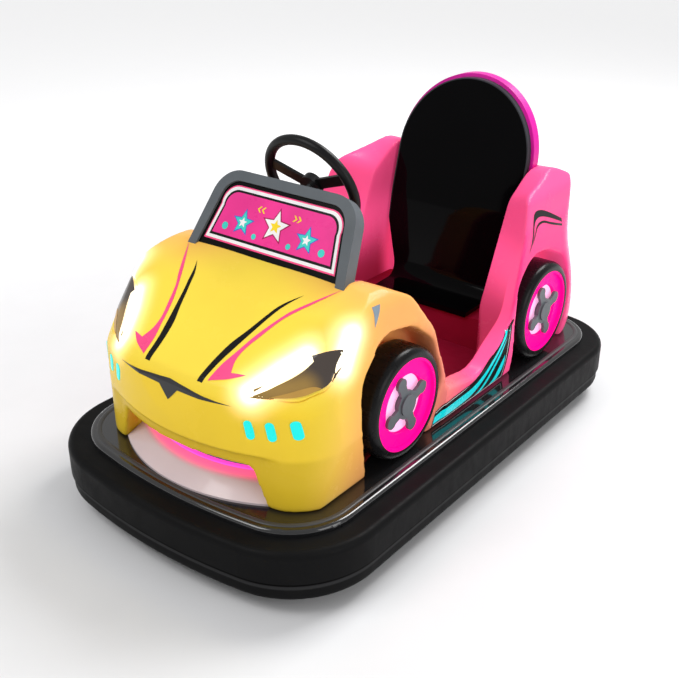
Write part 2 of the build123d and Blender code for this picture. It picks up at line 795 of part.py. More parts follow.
# Accelerator pedal: y, z, corner radius
PEDAL_X = -90.0
PEDAL_HALF = 38.0
PEDAL_VIEW = [
    (-560.0, DECK_TOP + FLOOR_T, 0),
    (-520.0, DECK_TOP + FLOOR_T, 0),
    (-532.0, 258.0, 6),
    (-602.0, 345.0, 3),
    (-610.0, 339.0, 3),
    (-550.0, 262.0, 6),
]
pedal_view = rounded_polygon(PEDAL_VIEW)
with BuildPart() as pedal:
    with BuildSketch(Plane.YZ.offset(PEDAL_X)):
        add(pedal_view)
    extrude(amount=PEDAL_HALF, both=True)

# Windscreen frame and panel, their feet cut to the bonnet
lean = math.radians(SCREEN_LEAN)
screen_plane = Plane(
    origin=(0, SCREEN_BASE_Y, SCREEN_BASE_Z), x_dir=(1, 0, 0), z_dir=(0, -math.cos(lean), math.sin(lean))
)
screen_slope = (SCREEN_BASE_HALF - SCREEN_TOP_HALF) / SCREEN_HEIGHT


def screen_outline(inset, foot):
    top = SCREEN_TOP_HALF - inset
    bottom = SCREEN_BASE_HALF - inset + screen_slope * foot
    corner_r = SCREEN_CORNER_R - inset
    height = SCREEN_HEIGHT - inset
    return rounded_polygon(
        [(-bottom, -foot, 0), (bottom, -foot, 0), (top, height, corner_r), (-top, height, corner_r)]
    )


frame_outline = screen_outline(0, SCREEN_FOOT)
frame_opening = screen_outline(SCREEN_FRAME_W, SCREEN_FOOT)
panel_outline = screen_outline(SCREEN_FRAME_W + TYRE_FIT, SCREEN_FOOT)
with BuildPart() as windscreen_frame:
    with BuildSketch(screen_plane.offset(-SCREEN_FRAME_BACK)):
        add(frame_outline)
        add(frame_opening, mode=Mode.SUBTRACT)
    extrude(amount=SCREEN_FRAME_BACK + SCREEN_FRAME_FRONT)
    add(front_body.part, mode=Mode.SUBTRACT)

with BuildPart() as windscreen_panel:
    with BuildSketch(screen_plane.offset(-SCREEN_PANEL_T)):
        add(panel_outline)
    extrude(amount=SCREEN_PANEL_T)
    add(front_body.part, mode=Mode.SUBTRACT)

# Dash behind the panel, with the boss that guides the column
tilt = math.radians(WHEEL_TILT)
wheel_plane = Plane(
    origin=(0, WHEEL_Y, WHEEL_Z), x_dir=(-1, 0, 0), z_dir=(0, math.cos(tilt), math.sin(tilt))
)
panel_top_y = SCREEN_BASE_Y + (DASH_TOP_Z - SCREEN_BASE_Z) * math.tan(lean)
DASH_VIEW = [
    (SCREEN_BASE_Y + DASH_GAP, DASH_BOTTOM_Z, 0),
    (DASH_BACK_Y, DASH_BOTTOM_Z, DASH_EDGE_R),
    (DASH_BACK_Y + DASH_RAKE, DASH_TOP_Z, DASH_EDGE_R),
    (panel_top_y + DASH_GAP, DASH_TOP_Z, 0),
    (SCREEN_BASE_Y + DASH_GAP, SCREEN_BASE_Z, 0),
]
dash_view = rounded_polygon(DASH_VIEW)
with BuildPart() as dash:
    with BuildSketch(Plane.YZ):
        add(dash_view)
    extrude(amount=DASH_HALF, both=True)
    with BuildSketch(wheel_plane.offset(-BOSS_START)):
        Circle(BOSS_R)
    extrude(amount=-BOSS_L)
    with BuildSketch(wheel_plane.offset(-BOSS_START)):
        Circle(SHAFT_R + RUNNING_GAP)
    extrude(amount=-(SHAFT_L - BOSS_START + FIT), mode=Mode.SUBTRACT)
    for cut in (front_body.part, windscreen_panel.part, windscreen_frame.part):
        add(cut, mode=Mode.SUBTRACT)

# Steering wheel on its column
with BuildPart() as steering_wheel:
    with Locations(wheel_plane):
        Torus(WHEEL_R, WHEEL_GRIP_R)
    with BuildSketch(wheel_plane.offset(-WHEEL_SPOKE_T / 2)):
        for angle in WHEEL_SPOKE_ANGLES:
            with PolarLocations(WHEEL_R / 2, 1, start_angle=angle):
                Rectangle(WHEEL_R, WHEEL_SPOKE_W)
    extrude(amount=WHEEL_SPOKE_T)
    with BuildSketch(wheel_plane.offset(-WHEEL_HUB_T / 2)):
        Circle(WHEEL_HUB_R)
    extrude(amount=WHEEL_HUB_T)

with BuildPart() as steering_shaft:
    with BuildSketch(wheel_plane.offset(-WHEEL_HUB_T / 2)):
        Circle(SHAFT_R)
    extrude(amount=-(SHAFT_L - WHEEL_HUB_T / 2))

# Drive fork: kingpin, crown, two arms and the axle across them
CROWN_TOP = BUMPER_TOP - PIVOT_PLATE_T - FIT
ARM_X = DRIVE_TYRE_W / 2 + WHEEL_SIDE_GAP
with BuildPart() as drive_fork:
    with BuildSketch(Plane.XY.offset(CROWN_TOP)):
        with Locations((0, DRIVE_Y)):
            Circle(CROWN_R)
    extrude(amount=-CROWN_T)
    with BuildSketch(Plane.XY.offset(CROWN_TOP)):
        with Locations((0, DRIVE_Y)):
            Circle(KINGPIN_R)
    extrude(amount=PIVOT_PLATE_T)
    for side in (-1, 1):
        with BuildSketch(Plane.YZ.offset(side * ARM_X)):
            with Locations((DRIVE_Y, (DRIVE_TYRE_R + CROWN_TOP) / 2)):
                Rectangle(2 * FORK_END_R, CROWN_TOP - DRIVE_TYRE_R)
            with Locations((DRIVE_Y, DRIVE_TYRE_R)):
                Circle(FORK_END_R)
        extrude(amount=side * FORK_T)
    with BuildSketch(Plane.YZ.offset(-ARM_X)):
        with Locations((DRIVE_Y, DRIVE_TYRE_R)):
            Circle(AXLE_R)
    extrude(amount=2 * ARM_X)


def running_wheel(centre, radius, width):
    # A tyre and the hub that it is pressed on, turning about X at this point
    x, y = centre
    with BuildPart() as tyre:
        with BuildSketch(Plane.YZ.offset(x - width / 2)):
            with Locations((y, radius)):
                Circle(radius)
        extrude(amount=width)
        fillet(tyre.edges().filter_by(GeomType.CIRCLE), width / 6)
        with BuildSketch(Plane.YZ.offset(x - width / 2)):
            with Locations((y, radius)):
                Circle(radius * HUB_SHARE + TYRE_FIT)
        extrude(amount=width, mode=Mode.SUBTRACT)
    with BuildPart() as hub:
        with BuildSketch(Plane.YZ.offset(x - width / 2)):
            with Locations((y, radius)):
                Circle(radius * HUB_SHARE)
                Circle(AXLE_R + RUNNING_GAP, mode=Mode.SUBTRACT)
        extrude(amount=width)
    return tyre, hub


drive_tyre, drive_hub = running_wheel((0, DRIVE_Y), DRIVE_TYRE_R, DRIVE_TYRE_W)
rear_wheels = {
    name: running_wheel((side * REAR_TRACK_HALF, REAR_AXLE_Y), REAR_TYRE_R, REAR_TYRE_W)
    for name, side in (("left", 1), ("right", -1))
}

# Rear axle: a square beam on two hangers, with a stub for each wheel
BEAM_END = REAR_TRACK_HALF - REAR_TYRE_W / 2 - WHEEL_SIDE_GAP
with BuildPart() as rear_axle:
    with BuildSketch(Plane.YZ.offset(-BEAM_END)):
        with Locations((REAR_AXLE_Y, REAR_TYRE_R)):
            Rectangle(BEAM, BEAM)
    extrude(amount=2 * BEAM_END)
    with BuildSketch(Plane.XY.offset(REAR_TYRE_R)):
        with Locations((-RAIL_X, REAR_AXLE_Y), (RAIL_X, REAR_AXLE_Y)):
            Rectangle(RAIL_W, BEAM)
    extrude(amount=FRAME_BOTTOM - REAR_TYRE_R)
    with BuildSketch(Plane.YZ.offset(-REAR_TRACK_HALF - REAR_TYRE_W / 2)):
        with Locations((REAR_AXLE_Y, REAR_TYRE_R)):
            Circle(AXLE_R)
    extrude(amount=2 * REAR_TRACK_HALF + REAR_TYRE_W)

write(bumper_upper, "bumper_upper")
write(bumper_lower, "bumper_lower")
write(deck, "deck")
write(chassis_frame, "chassis_frame")
write(front_body, "front_body")
write(rear_body, "rear_body")
write(cockpit_floor, "cockpit_floor")
write(seat_board, "seat_board")
write(seat_cover, "seat_cover")
write(seat_base, "seat_base")
write(battery_box, "battery_box")
write(mouth_tray, "mouth_tray")
write(mouth_light, "mouth_light")
write(mouth_mesh, "mouth_mesh")
write(headlamps, "headlamps")
write(nose_trim, "nose_trim")
write(led_bars, "led_bars")
write(tail_lamps, "tail_lamps")
write(pedal, "pedal")
write(windscreen_frame, "windscreen_frame")
write(windscreen_panel, "windscreen_panel")
write(dash, "dash")
write(steering_wheel, "steering_wheel")
write(steering_shaft, "steering_shaft")
write(drive_fork, "drive_fork")
write(drive_tyre, "drive_tyre")
write(drive_hub, "drive_hub")
write(rear_axle, "rear_axle")
for name, (tyre, hub) in rear_wheels.items():
    write(tyre, f"rear_tyre_{name}")
    write(hub, f"rear_hub_{name}")

# Show wheels: a tyre, a dished rim with a stub to the wheel house, and a spider
SHOW_WHEELS = [
    ("front_left", 1, SHOW_FRONT_Y),
    ("front_right", -1, SHOW_FRONT_Y),
    ("rear_left", 1, SHOW_REAR_Y),
    ("rear_right", -1, SHOW_REAR_Y),
]
for name, side, centre_y in SHOW_WHEELS:
    face = Plane(origin=(side * SHOW_FACE_X, centre_y, SHOW_Z), x_dir=(0, 1, 0), z_dir=(side, 0, 0))
    dish = face.offset(-RIM_DISH)
    recess = dish.offset(-RECESS_DEPTH)
    with BuildPart() as show_tyre:
        with BuildSketch(face):
            Circle(SHOW_TYRE_R)
        extrude(amount=-SHOW_TYRE_W)
        fillet(show_tyre.edges().filter_by(GeomType.CIRCLE), TYRE_SHOULDER_R)
        with BuildSketch(face):
            Circle(SHOW_RIM_R)
        extrude(amount=-SHOW_TYRE_W, mode=Mode.SUBTRACT)
    with BuildPart() as show_rim:
        with BuildSketch(dish):
            Circle(SHOW_RIM_R - TYRE_FIT)
        extrude(amount=-RIM_T)
        with BuildSketch(face.offset(-RIM_LIP)):
            Circle(SHOW_RIM_R - TYRE_FIT)
            Circle(SHOW_RIM_R - RIM_T, mode=Mode.SUBTRACT)
        extrude(amount=RIM_LIP - SHOW_TYRE_W)
        with BuildSketch(dish):
            Circle(RECESS_R + RIM_T)
        extrude(amount=-(RECESS_DEPTH + RIM_T))
        with BuildSketch(dish):
            Circle(RECESS_R)
        extrude(amount=-RECESS_DEPTH, mode=Mode.SUBTRACT)
        with BuildSketch(recess):
            Circle(HUB_R)
        extrude(amount=-(SHOW_FACE_X - RIM_DISH - RECESS_DEPTH - ARCH_INNER_X))
    with BuildPart() as show_hub:
        with BuildSketch(dish):
            Circle(CAP_R)
            with PolarLocations(SPOKE_REACH / 2, 4, start_angle=SPOKE_TURN):
                Rectangle(SPOKE_REACH - 2 * SPOKE_END_R, SPOKE_W)
            with PolarLocations(SPOKE_REACH - SPOKE_END_R, 4, start_angle=SPOKE_TURN):
                Circle(SPOKE_END_R)
        extrude(amount=SPOKE_T)
        with BuildSketch(recess):
            Circle(HUB_R)
        extrude(amount=RECESS_DEPTH + HUB_T)
    write(show_tyre, f"show_tyre_{name}")
    write(show_rim, f"show_rim_{name}")
    write(show_hub, f"show_hub_{name}")
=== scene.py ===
import math

import bmesh
import bpy
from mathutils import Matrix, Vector
from mathutils.bvhtree import BVHTree
from mathutils.geometry import delaunay_2d_cdt


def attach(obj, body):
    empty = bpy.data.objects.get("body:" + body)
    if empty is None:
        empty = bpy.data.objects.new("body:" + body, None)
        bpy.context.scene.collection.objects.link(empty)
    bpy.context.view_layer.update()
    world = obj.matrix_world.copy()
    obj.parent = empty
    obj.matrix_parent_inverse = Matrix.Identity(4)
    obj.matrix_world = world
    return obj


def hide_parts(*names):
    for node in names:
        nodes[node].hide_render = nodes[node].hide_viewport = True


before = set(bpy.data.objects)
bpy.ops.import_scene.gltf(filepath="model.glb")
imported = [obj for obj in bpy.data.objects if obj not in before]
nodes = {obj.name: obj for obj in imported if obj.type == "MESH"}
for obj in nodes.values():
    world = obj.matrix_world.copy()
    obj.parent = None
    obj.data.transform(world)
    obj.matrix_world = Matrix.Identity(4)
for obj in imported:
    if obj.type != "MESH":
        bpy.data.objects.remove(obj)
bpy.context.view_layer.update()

# Places and sizes in metres, in the car's own frame: -Y is forward, +X is its left
CAMERA_TARGET = Vector((-0.0185, -0.0714, 0.3861))
CAMERA_DISTANCE = 3.3719
CAMERA_AZIMUTH = math.radians(38.47)
CAMERA_ELEVATION = math.radians(26.31)
SENSOR_WIDTH = 36.0
LENS = 52.38

BODY_SEAM_Y = -0.105
DECK_TOP = 0.237
SHOW_FRONT_Y = -0.336
SHOW_REAR_Y = 0.511
SHOW_Z = 0.4153
SKIN_VOXEL = 0.006
SKIN_ROUNDS = 14
SKIN_SMOOTH = 0.5
WELD = 0.00001
MM = 0.001

# Decals: how far each kind stands off its surface, and the spacing of its points
DECAL_LIFT = 0.0008
DECAL_STEP = 0.010
DECAL_FINE = 0.004
DECAL_LAY = (DECAL_LIFT, DECAL_STEP)
PATCH_LAY = (1.5 * DECAL_LIFT, DECAL_FINE)
STRIPE_LAY = (2.5 * DECAL_LIFT, DECAL_FINE)
LENS_LAY = (3 * DECAL_LIFT, DECAL_FINE)
GOLD_LAY = (4 * DECAL_LIFT, DECAL_FINE)
RAY_TOP = 1.2
RAY_SIDE = 1.0

# Bumper's seam and the raised bead along the deck's edge
BUMPER_SEAM_Z = 0.111
BEAD_IN = 0.016
BEAD_R = 0.008
BEAD_RISE = 0.35
BEAD_PARTS = 6
DECK_TOP_GAP = 0.00005
DECK_EDGE_SHARE = 0.5

# Rooms inside the shell that are painted a darker crimson, partly their own colour and partly
# painted shade
FOOT_HALF = 0.310
FOOT_NOSE_Y = -0.650
FOOT_ROOF_Z = 0.678
FOOT_ROOF_SLOPE = 0.475
ROOM_HALF = 0.390

# Mouth: its upper edge in the solids, how far the skin opens it, the crease over
# it and the undercut below the crease
LIP_Z = 0.330
LIP_RAISE = 0.036
LIP_CALM_Z = 0.455
LIP_CREASE_Z = 0.414
LIP_CREASE_RUN = 0.016
LIP_UNDERCUT = 0.014
LIP_HALF = 0.270
LIP_FADE = 0.085
LIP_FRONT_Y = -0.740
LIP_FRONT_RUN = 0.030
TRAY_AXIS_Y = -0.322
TRAY_BACK_R = 0.465
TRAY_GLOW_R = 0.502

# Seat's round back
SEAT_HALF = 0.272
SEAT_TOP_Z = 1.146

# Windscreen panel: its plane, its outline and its rounded corners
SCREEN_BASE = Vector((0.0, -0.455, 0.790))
SCREEN_UP = Vector((0.0, 0.5195, 0.8545))
SCREEN_OUT = Vector((0.0, -0.8545, 0.5195))
PANEL_BASE_HALF = 0.276
PANEL_TAPER = 0.184
PANEL_HEIGHT = 0.218
PANEL_FOOT = 0.004
PANEL_CORNER_R = 0.063
PANEL_CORNER_SHRINK = 0.6
PANEL_CORNER_NARROW = 0.83
PANEL_CORNER_PARTS = 12
PANEL_CORNER_START = -10
PANEL_CORNER_TURN = 100

# Decals on the left side, in millimetres; each run is a smooth curve and the
# runs meet at sharp corners. From above: x, y. From the side: y, z.
BLACK_STRIPE = [
    [(213, -520), (178, -566), (155, -617), (134, -671), (112, -722), (100, -780), (95, -836)],
    [(95, -836), (114, -836)],
    [(114, -836), (121, -780), (136, -722), (152, -668), (168, -618), (192, -558), (213, -520)],
]
PINK_STRIPE = [
    [(303, -465), (240, -550), (203, -607), (170, -672), (147, -740), (134, -780), (128, -828)],
    [(128, -828), (179, -806), (222, -774)],
    [(222, -774), (178, -787)],
    [(178, -787), (165, -755), (167, -718), (183, -675), (206, -620), (232, -581),
     (269, -523), (303, -465)],
]
SIDE_PATCH = [
    [(-166, 247), (-154, 302)],
    [(-154, 302), (-90, 315), (-15, 318), (43, 320), (89, 332), (135, 350), (180, 377),
     (222, 408), (254, 442), (279, 482)],
    [(279, 482), (279, 404), (277, 336), (274, 247)],
    [(274, 247), (-166, 247)],
]
PATCH_EDGE = [
    [(-162, 250), (262, 250)],
    [(262, 250), (265, 336), (267, 400), (270, 452)],
    [(270, 452), (264, 400), (262, 336), (259, 253)],
    [(259, 253), (-161, 253)],
    [(-161, 253), (-162, 250)],
]
PATCH_TOP_EDGE = [
    [(-154, 299), (-90, 312), (-15, 315), (35, 317)],
    [(35, 317), (-15, 312), (-90, 309), (-155, 296)],
    [(-155, 296), (-154, 299)],
]
STRIPE_LONG = [
    [(-157, 284), (-102, 291), (-27, 294), (30, 296), (73, 303), (116, 321), (160, 349),
     (202, 384), (235, 418), (258, 448)],
    [(258, 448), (242, 412), (212, 378), (172, 339), (132, 306), (92, 280), (50, 265),
     (0, 260), (-77, 258), (-162, 258)],
    [(-162, 258), (-157, 284)],
]
STRIPE_MIDDLE = [
    [(84, 254), (108, 262), (138, 284), (174, 322), (207, 360), (253, 412)],
    [(253, 412), (222, 357), (192, 321), (161, 284), (133, 260), (118, 254)],
    [(118, 254), (84, 254)],
]
STRIPE_SHORT = [
    [(172, 254), (200, 270), (224, 306), (253, 345)],
    [(253, 345), (255, 312)],
    [(255, 312), (246, 286), (230, 264), (216, 254)],
    [(216, 254), (172, 254)],
]
SWOOSH_THICK = [
    [(599, 735), (519, 776), (463, 798), (421, 797), (403, 759), (388, 704), (373, 669)],
    [(373, 669), (396, 706), (411, 757), (433, 776), (467, 775), (523, 756), (603, 721)],
    [(603, 721), (599, 735)],
]
SWOOSH_THIN = [
    [(605, 714), (527, 740), (471, 760), (429, 755), (407, 724), (393, 690)],
    [(393, 690), (411, 720), (431, 747), (471, 752), (527, 732), (605, 706)],
    [(605, 706), (605, 714)],
]
WING_VENT = [
    [(-477, 713), (-471, 768)],
    [(-471, 768), (-435, 766)],
    [(-435, 766), (-477, 713)],
]
LENS_DARK = [
    [(258, -808), (288, -779), (311, -747), (334, -716), (352, -688), (364, -662)],
    [(364, -662), (352, -655)],
    [(352, -655), (385, -630), (419, -604)],
    [(419, -604), (417, -630), (420, -642)],
    [(420, -642), (430, -622)],
    [(430, -622), (421, -657), (410, -682), (380, -718), (345, -750), (304, -782), (258, -808)],
]
LENS_GOLD = [
    [(300, -784), (345, -742), (386, -700), (408, -684)],
    [(408, -684), (380, -720), (345, -752), (300, -784)],
]
LENS_DASH = [
    [(262, -790), (280, -768)],
    [(280, -768), (274, -782), (266, -794)],
    [(266, -794), (262, -790)],
]

# Glow of the left headlamp: runs of points in metres
GLOW_RUNS = [
    ((0.258, -0.795, 0.592), (0.300, -0.715, 0.637)),
    ((0.300, -0.715, 0.637), (0.338, -0.660, 0.668)),
    ((0.425, -0.570, 0.725), (0.430, -0.620, 0.655)),
]

# Colours, linear
YELLOW = (0.93, 0.70, 0.070)
FASCIA = (0.88, 0.61, 0.038)
ORANGE = (0.95, 0.42, 0.12)
PINK = (0.92, 0.085, 0.26)
# Darker pink of the flanks, as painted shade
SHADED_FLANK_PINK = (0.88, 0.03, 0.21)
MAGENTA = (0.62, 0.006, 0.31)
RIM_MAGENTA = (0.92, 0.002, 0.235)
LIGHT_PINK = (0.93, 0.50, 0.76)
CRIMSON = (0.38, 0.010, 0.045)
# Darker crimson inside the shell: its own colour, darkened with painted shade
INSIDE_SHADED_CRIMSON = (0.45, 0.022, 0.075)
# Painted shade under the nose's crease
UNDERCUT_SHADE = (0.30, 0.18, 0.0)
PAINT_STAIN = (0.25, 0.02, 0.02)
RIM_STAIN = (0.35, 0.0, 0.10)
# Painted light of the headlamp on the paint round it
PAINTED_LAMP_LIGHT = (1.0, 0.97, 0.86)
PAINTED_LAMP_HALO = (0.70, 0.48, 0.34)
LENS_SMOKE = (0.075, 0.060, 0.052)
LENS_AMBER = (0.34, 0.21, 0.060)
TRAY_WHITE = (0.67, 0.56, 0.58)
# The light strip's pink light painted on the tray, as colour and glow
TRAY_PAINTED_PINK_LIGHT = (0.95, 0.14, 0.30)
TRAY_GLOW = (1.0, 0.10, 0.26)
BLUE = (0.055, 0.20, 0.36)
BLUE_HOLE = (0.004, 0.008, 0.014)
CYAN = (0.0, 0.42, 0.40)
BLACK = (0.012, 0.012, 0.013)
PRINT_BLACK = (0.004, 0.004, 0.004)
SEAT_BLACK = (0.0012, 0.0012, 0.0015)
SEAT_EDGE = (0.045, 0.050, 0.056)
WHEEL_BLACK = (0.006, 0.006, 0.0065)
RUBBER = (0.0075, 0.0075, 0.0078)
RUBBER_DUST = (0.014, 0.0135, 0.013)
# Painted shade in the bumper's seam and a painted highlight on the edge under it
RUBBER_SEAM_SHADE = (0.0, 0.0, 0.0)
RUBBER_EDGE_HIGHLIGHT = (0.030, 0.030, 0.031)
GREY = (0.105, 0.118, 0.130)
STEEL = (0.34, 0.35, 0.36)
FLOOR = (0.74, 0.74, 0.75)

# Noises: the part of each one's range that counts, and how much it changes
CLOUD_RANGE = (0.3, 0.7)
SMEAR_RANGE = (0.25, 0.75)
SPECK_RANGE = (0.62, 0.78)
DUST_RANGE = (0.45, 0.80)
DUST_SHARE = 0.30
SMEAR_LOW = 0.8
SMEAR_HIGH = 1.25
SPECK_SHARE = 0.10
SPECK_SHADE = 0.75

# Fades of the body's paint, each from where it starts to where it is full. BACK is
# the place along the car, shifted by the place across it and the height.
BACK_BY_SIDE = 0.45
BACK_BY_HEIGHT = 0.20
NOSE_Y_FADE = (-0.60, -0.78)
FASCIA_Z_FADE = (0.60, 0.54)
# Painted shade under the nose's crease fades in below it
UNDERCUT_Z_FADE = (LIP_CREASE_Z, LIP_CREASE_Z - 0.02)
UNDERCUT_SHARE = 0.30
ORANGE_BACK_FADE = (-0.66, -0.36)
PINK_BACK_FADE = (-0.27, 0.24)
FOOT_SIDE_FADE = (FOOT_HALF, FOOT_HALF - 0.008)
FOOT_Y_FADE = (FOOT_NOSE_Y, FOOT_NOSE_Y + 0.01)
FOOT_ROOF_FADE = (0.005, -0.005)
# Where the flanks take the darker pink of painted shade
FLANK_SIDE_FADE = (0.424, 0.444)
FLANK_Z_FADE = (0.40, 0.60)
# The cockpit's lower inside, darkened with painted shade
ROOM_SIDE_FADE = (ROOM_HALF + 0.004, ROOM_HALF - 0.001)
ROOM_Z_FADE = (0.62, 0.38)
ROOM_Y_FADE = (0.60, 0.50)
# Painted light: the wall beside the seat glows in its own colour
WALL_FRONT_FADE = (0.0, 0.12)
WALL_BACK_FADE = (0.75, 0.65)
WALL_Z_FADE = (0.78, 0.60)
WALL_GLOW = (0.18, 0.48)

# Glow of the lamps on the paint round them
GLOW_CORE = 0.050
GLOW_CORE_FULL = GLOW_CORE * 0.2
GLOW_HALO = 0.125
GLOW_FALL = 2.4
GLOW_STRENGTH = 1.8

# Fades on other pieces
RIM_DISH_FADE = (0.093, 0.090)
# The rim's glow in its own colour is painted light
RIM_GLOW = 0.70
# Painted shade in the bumper's seam and a painted highlight under it
SEAM_FADE = (0.006, 0.003)
SEAM_EDGE_Z = BUMPER_SEAM_Z - 0.012
SEAM_EDGE_FADE = (0.008, 0.003)
SEAT_EDGE_FADE = (SEAT_HALF - 0.006, SEAT_HALF - 0.003)
# Where the strip's painted light on the tray fades
TRAY_FADE = (TRAY_GLOW_R, TRAY_BACK_R + 0.008)
TRAY_FALL = 1.4
TRAY_STRENGTH = 0.8
LENS_LOW_RUN = ((0.262, -0.805, 0.575), (0.372, -0.722, 0.610))
LENS_AMBER_FADE = (0.070, 0.012)
MESH_HOLES = 150.0
MESH_HOLE_FADE = (0.42, 0.34)

# Stage
FLOOR_SIZE = 40.0
FLOOR_CELLS = 8
FLOOR_GLOW_FADE = (1.0, 4.0)
FLOOR_GLOW = 0.45
WORLD_STRENGTH = 0.56
LIGHT_AIM = Vector((0, 0, 0.4))
LIGHTS = [
    # name, place, size, watts
    ("key", (-1.0, -2.8, 3.6), 2.0, 62.0),
    ("side", (4.6, -0.6, 1.9), 2.4, 50.0),
    ("back", (0.9, 3.0, 4.2), 2.4, 230.0),
]


# Shader nodes
class Shader:
    """One material's nodes, with short calls for the few kinds used here."""

    def __init__(self, name):
        self.material = bpy.data.materials.new(name)
        self.material.use_nodes = True
        self.tree = self.material.node_tree
        self.bsdf = self.tree.nodes["Principled BSDF"]
        self.place = self.tree.nodes.new("ShaderNodeTexCoord").outputs["Object"]

    def link(self, value, socket):
        if isinstance(value, bpy.types.NodeSocket):
            self.tree.links.new(value, socket)
        elif isinstance(value, tuple) and len(value) == 3 and socket.type == "RGBA":
            socket.default_value = (*value, 1.0)
        else:
            socket.default_value = value

    def maths(self, kind, a, b=0.0, clamp=False):
        node = self.tree.nodes.new("ShaderNodeMath")
        node.operation = kind
        node.use_clamp = clamp
        self.link(a, node.inputs[0])
        self.link(b, node.inputs[1])
        return node.outputs[0]

    def axes(self):
        node = self.tree.nodes.new("ShaderNodeSeparateXYZ")
        self.link(self.place, node.inputs[0])
        return node.outputs[0], node.outputs[1], node.outputs[2]

    def noise(self, scale, detail=4.0, rough=0.55, stretch=None):
        node = self.tree.nodes.new("ShaderNodeTexNoise")
        place = self.place
        if stretch:
            mapping = self.tree.nodes.new("ShaderNodeMapping")
            self.link(place, mapping.inputs["Vector"])
            mapping.inputs["Scale"].default_value = stretch
            place = mapping.outputs[0]
        self.link(place, node.inputs["Vector"])
        node.inputs["Scale"].default_value = scale
        node.inputs["Detail"].default_value = detail
        node.inputs["Roughness"].default_value = rough
        return node.outputs["Fac"]

    def steps(self, value, low, high, from_value=0.0, to_value=1.0):
        node = self.tree.nodes.new("ShaderNodeMapRange")
        node.interpolation_type = "SMOOTHSTEP"
        self.link(value, node.inputs["Value"])
        node.inputs["From Min"].default_value = low
        node.inputs["From Max"].default_value = high
        node.inputs["To Min"].default_value = from_value
        node.inputs["To Max"].default_value = to_value
        return node.outputs["Result"]

    def mix(self, factor, a, b):
        node = self.tree.nodes.new("ShaderNodeMix")
        node.data_type = "RGBA"
        self.link(factor, node.inputs["Factor"])
        self.link(a, node.inputs[6])
        self.link(b, node.inputs[7])
        return node.outputs[2]

    def product(self, *values):
        total = values[0]
        for value in values[1:]:
            total = self.maths("MULTIPLY", total, value)
        return total

    def radius(self, a, b):
        squares = self.maths("ADD", self.maths("MULTIPLY", a, a), self.maths("MULTIPLY", b, b))
        return self.maths("SQRT", squares)

    def bump(self, height, strength, distance):
        node = self.tree.nodes.new("ShaderNodeBump")
        node.inputs["Strength"].default_value = strength
        node.inputs["Distance"].default_value = distance
        self.link(height, node.inputs["Height"])
        self.link(node.outputs[0], self.bsdf.inputs["Normal"])

    def clouded(self, base, stain, share, scale):
        # The base colour with slow clouds of a stain
        cloud = self.steps(self.noise(scale, detail=3.0), *CLOUD_RANGE, 0.0, share)
        self.link(self.mix(cloud, base, stain), self.bsdf.inputs["Base Color"])

    def smeared(self, smear, low, high):
        # Roughness that follows a noise
        self.link(self.steps(smear, *SMEAR_RANGE, low, high), self.bsdf.inputs["Roughness"])

    def finish(
        self, colour, rough, metallic=0.0, coat=0.0, coat_rough=0.06, spread=0.12, specular=0.35
    ):
        # Colour with slow and fine variation, and roughness that varies with smears
        slow = self.steps(self.noise(5.0, detail=3.0), *CLOUD_RANGE)
        tone = self.mix(slow, self.shade(colour, 1 - spread), self.shade(colour, 1 + spread / 2))
        speck = self.steps(self.noise(90.0, detail=5.0), *SPECK_RANGE, 0.0, SPECK_SHARE)
        tone = self.mix(speck, tone, self.shade(colour, SPECK_SHADE))
        self.link(tone, self.bsdf.inputs["Base Color"])
        smear = self.noise(14.0, detail=6.0, rough=0.65, stretch=(1.0, 2.2, 1.0))
        self.smeared(smear, rough * SMEAR_LOW, min(1.0, rough * SMEAR_HIGH))
        self.gloss(specular, metallic, coat, coat_rough)

    def gloss(self, specular, metallic=0.0, coat=0.0, coat_rough=0.06):
        self.bsdf.inputs["Metallic"].default_value = metallic
        self.bsdf.inputs["Specular IOR Level"].default_value = specular
        self.bsdf.inputs["Coat Weight"].default_value = coat
        self.bsdf.inputs["Coat Roughness"].default_value = coat_rough

    def shade(self, colour, share):
        if isinstance(colour, tuple):
            return tuple(min(1.0, c * share) for c in colour)
        return self.mix(1.0 - share if share < 1 else 0.0, colour, (0.0, 0.0, 0.0))

    def vector(self, kind, a, b=None, scale=None):
        node = self.tree.nodes.new("ShaderNodeVectorMath")
        node.operation = kind
        self.link(a, node.inputs[0])
        if b is not None:
            self.link(b, node.inputs[1])
        if scale is not None:
            self.link(scale, node.inputs["Scale"])
        return node.outputs["Value" if kind in ("LENGTH", "DOT_PRODUCT") else "Vector"]

    def folded(self):
        # The place with both sides of the car folded onto its left
        x, y, z = self.axes()
        node = self.tree.nodes.new("ShaderNodeCombineXYZ")
        self.link(self.maths("ABSOLUTE", x), node.inputs[0])
        self.link(y, node.inputs[1])
        self.link(z, node.inputs[2])
        return node.outputs[0]

    def reach(self, place, start, end):
        # Distance from the place to the straight run between two points
        run = Vector(end) - Vector(start)
        away = self.vector("SUBTRACT", place, tuple(start))
        along = self.vector("DOT_PRODUCT", away, tuple(run))
        share = self.maths("MULTIPLY", along, 1 / run.length_squared, clamp=True)
        nearest = self.vector("SCALE", tuple(run), scale=share)
        return self.vector("LENGTH", self.vector("SUBTRACT", away, nearest))

    def lamp_glow(self):
        # Painted light of the headlamp on the paint: a white glow at the lamp's runs and a paler
        # halo of glow round them
        place = self.folded()
        near = None
        for start, end in GLOW_RUNS:
            distance = self.reach(place, start, end)
            near = distance if near is None else self.maths("MINIMUM", near, distance)
        hot = self.steps(near, GLOW_CORE, GLOW_CORE_FULL)
        soft = self.maths("POWER", self.steps(near, GLOW_HALO, GLOW_CORE_FULL), GLOW_FALL)
        self.glow(self.mix(hot, PAINTED_LAMP_HALO, PAINTED_LAMP_LIGHT), self.maths("MULTIPLY", soft, GLOW_STRENGTH))

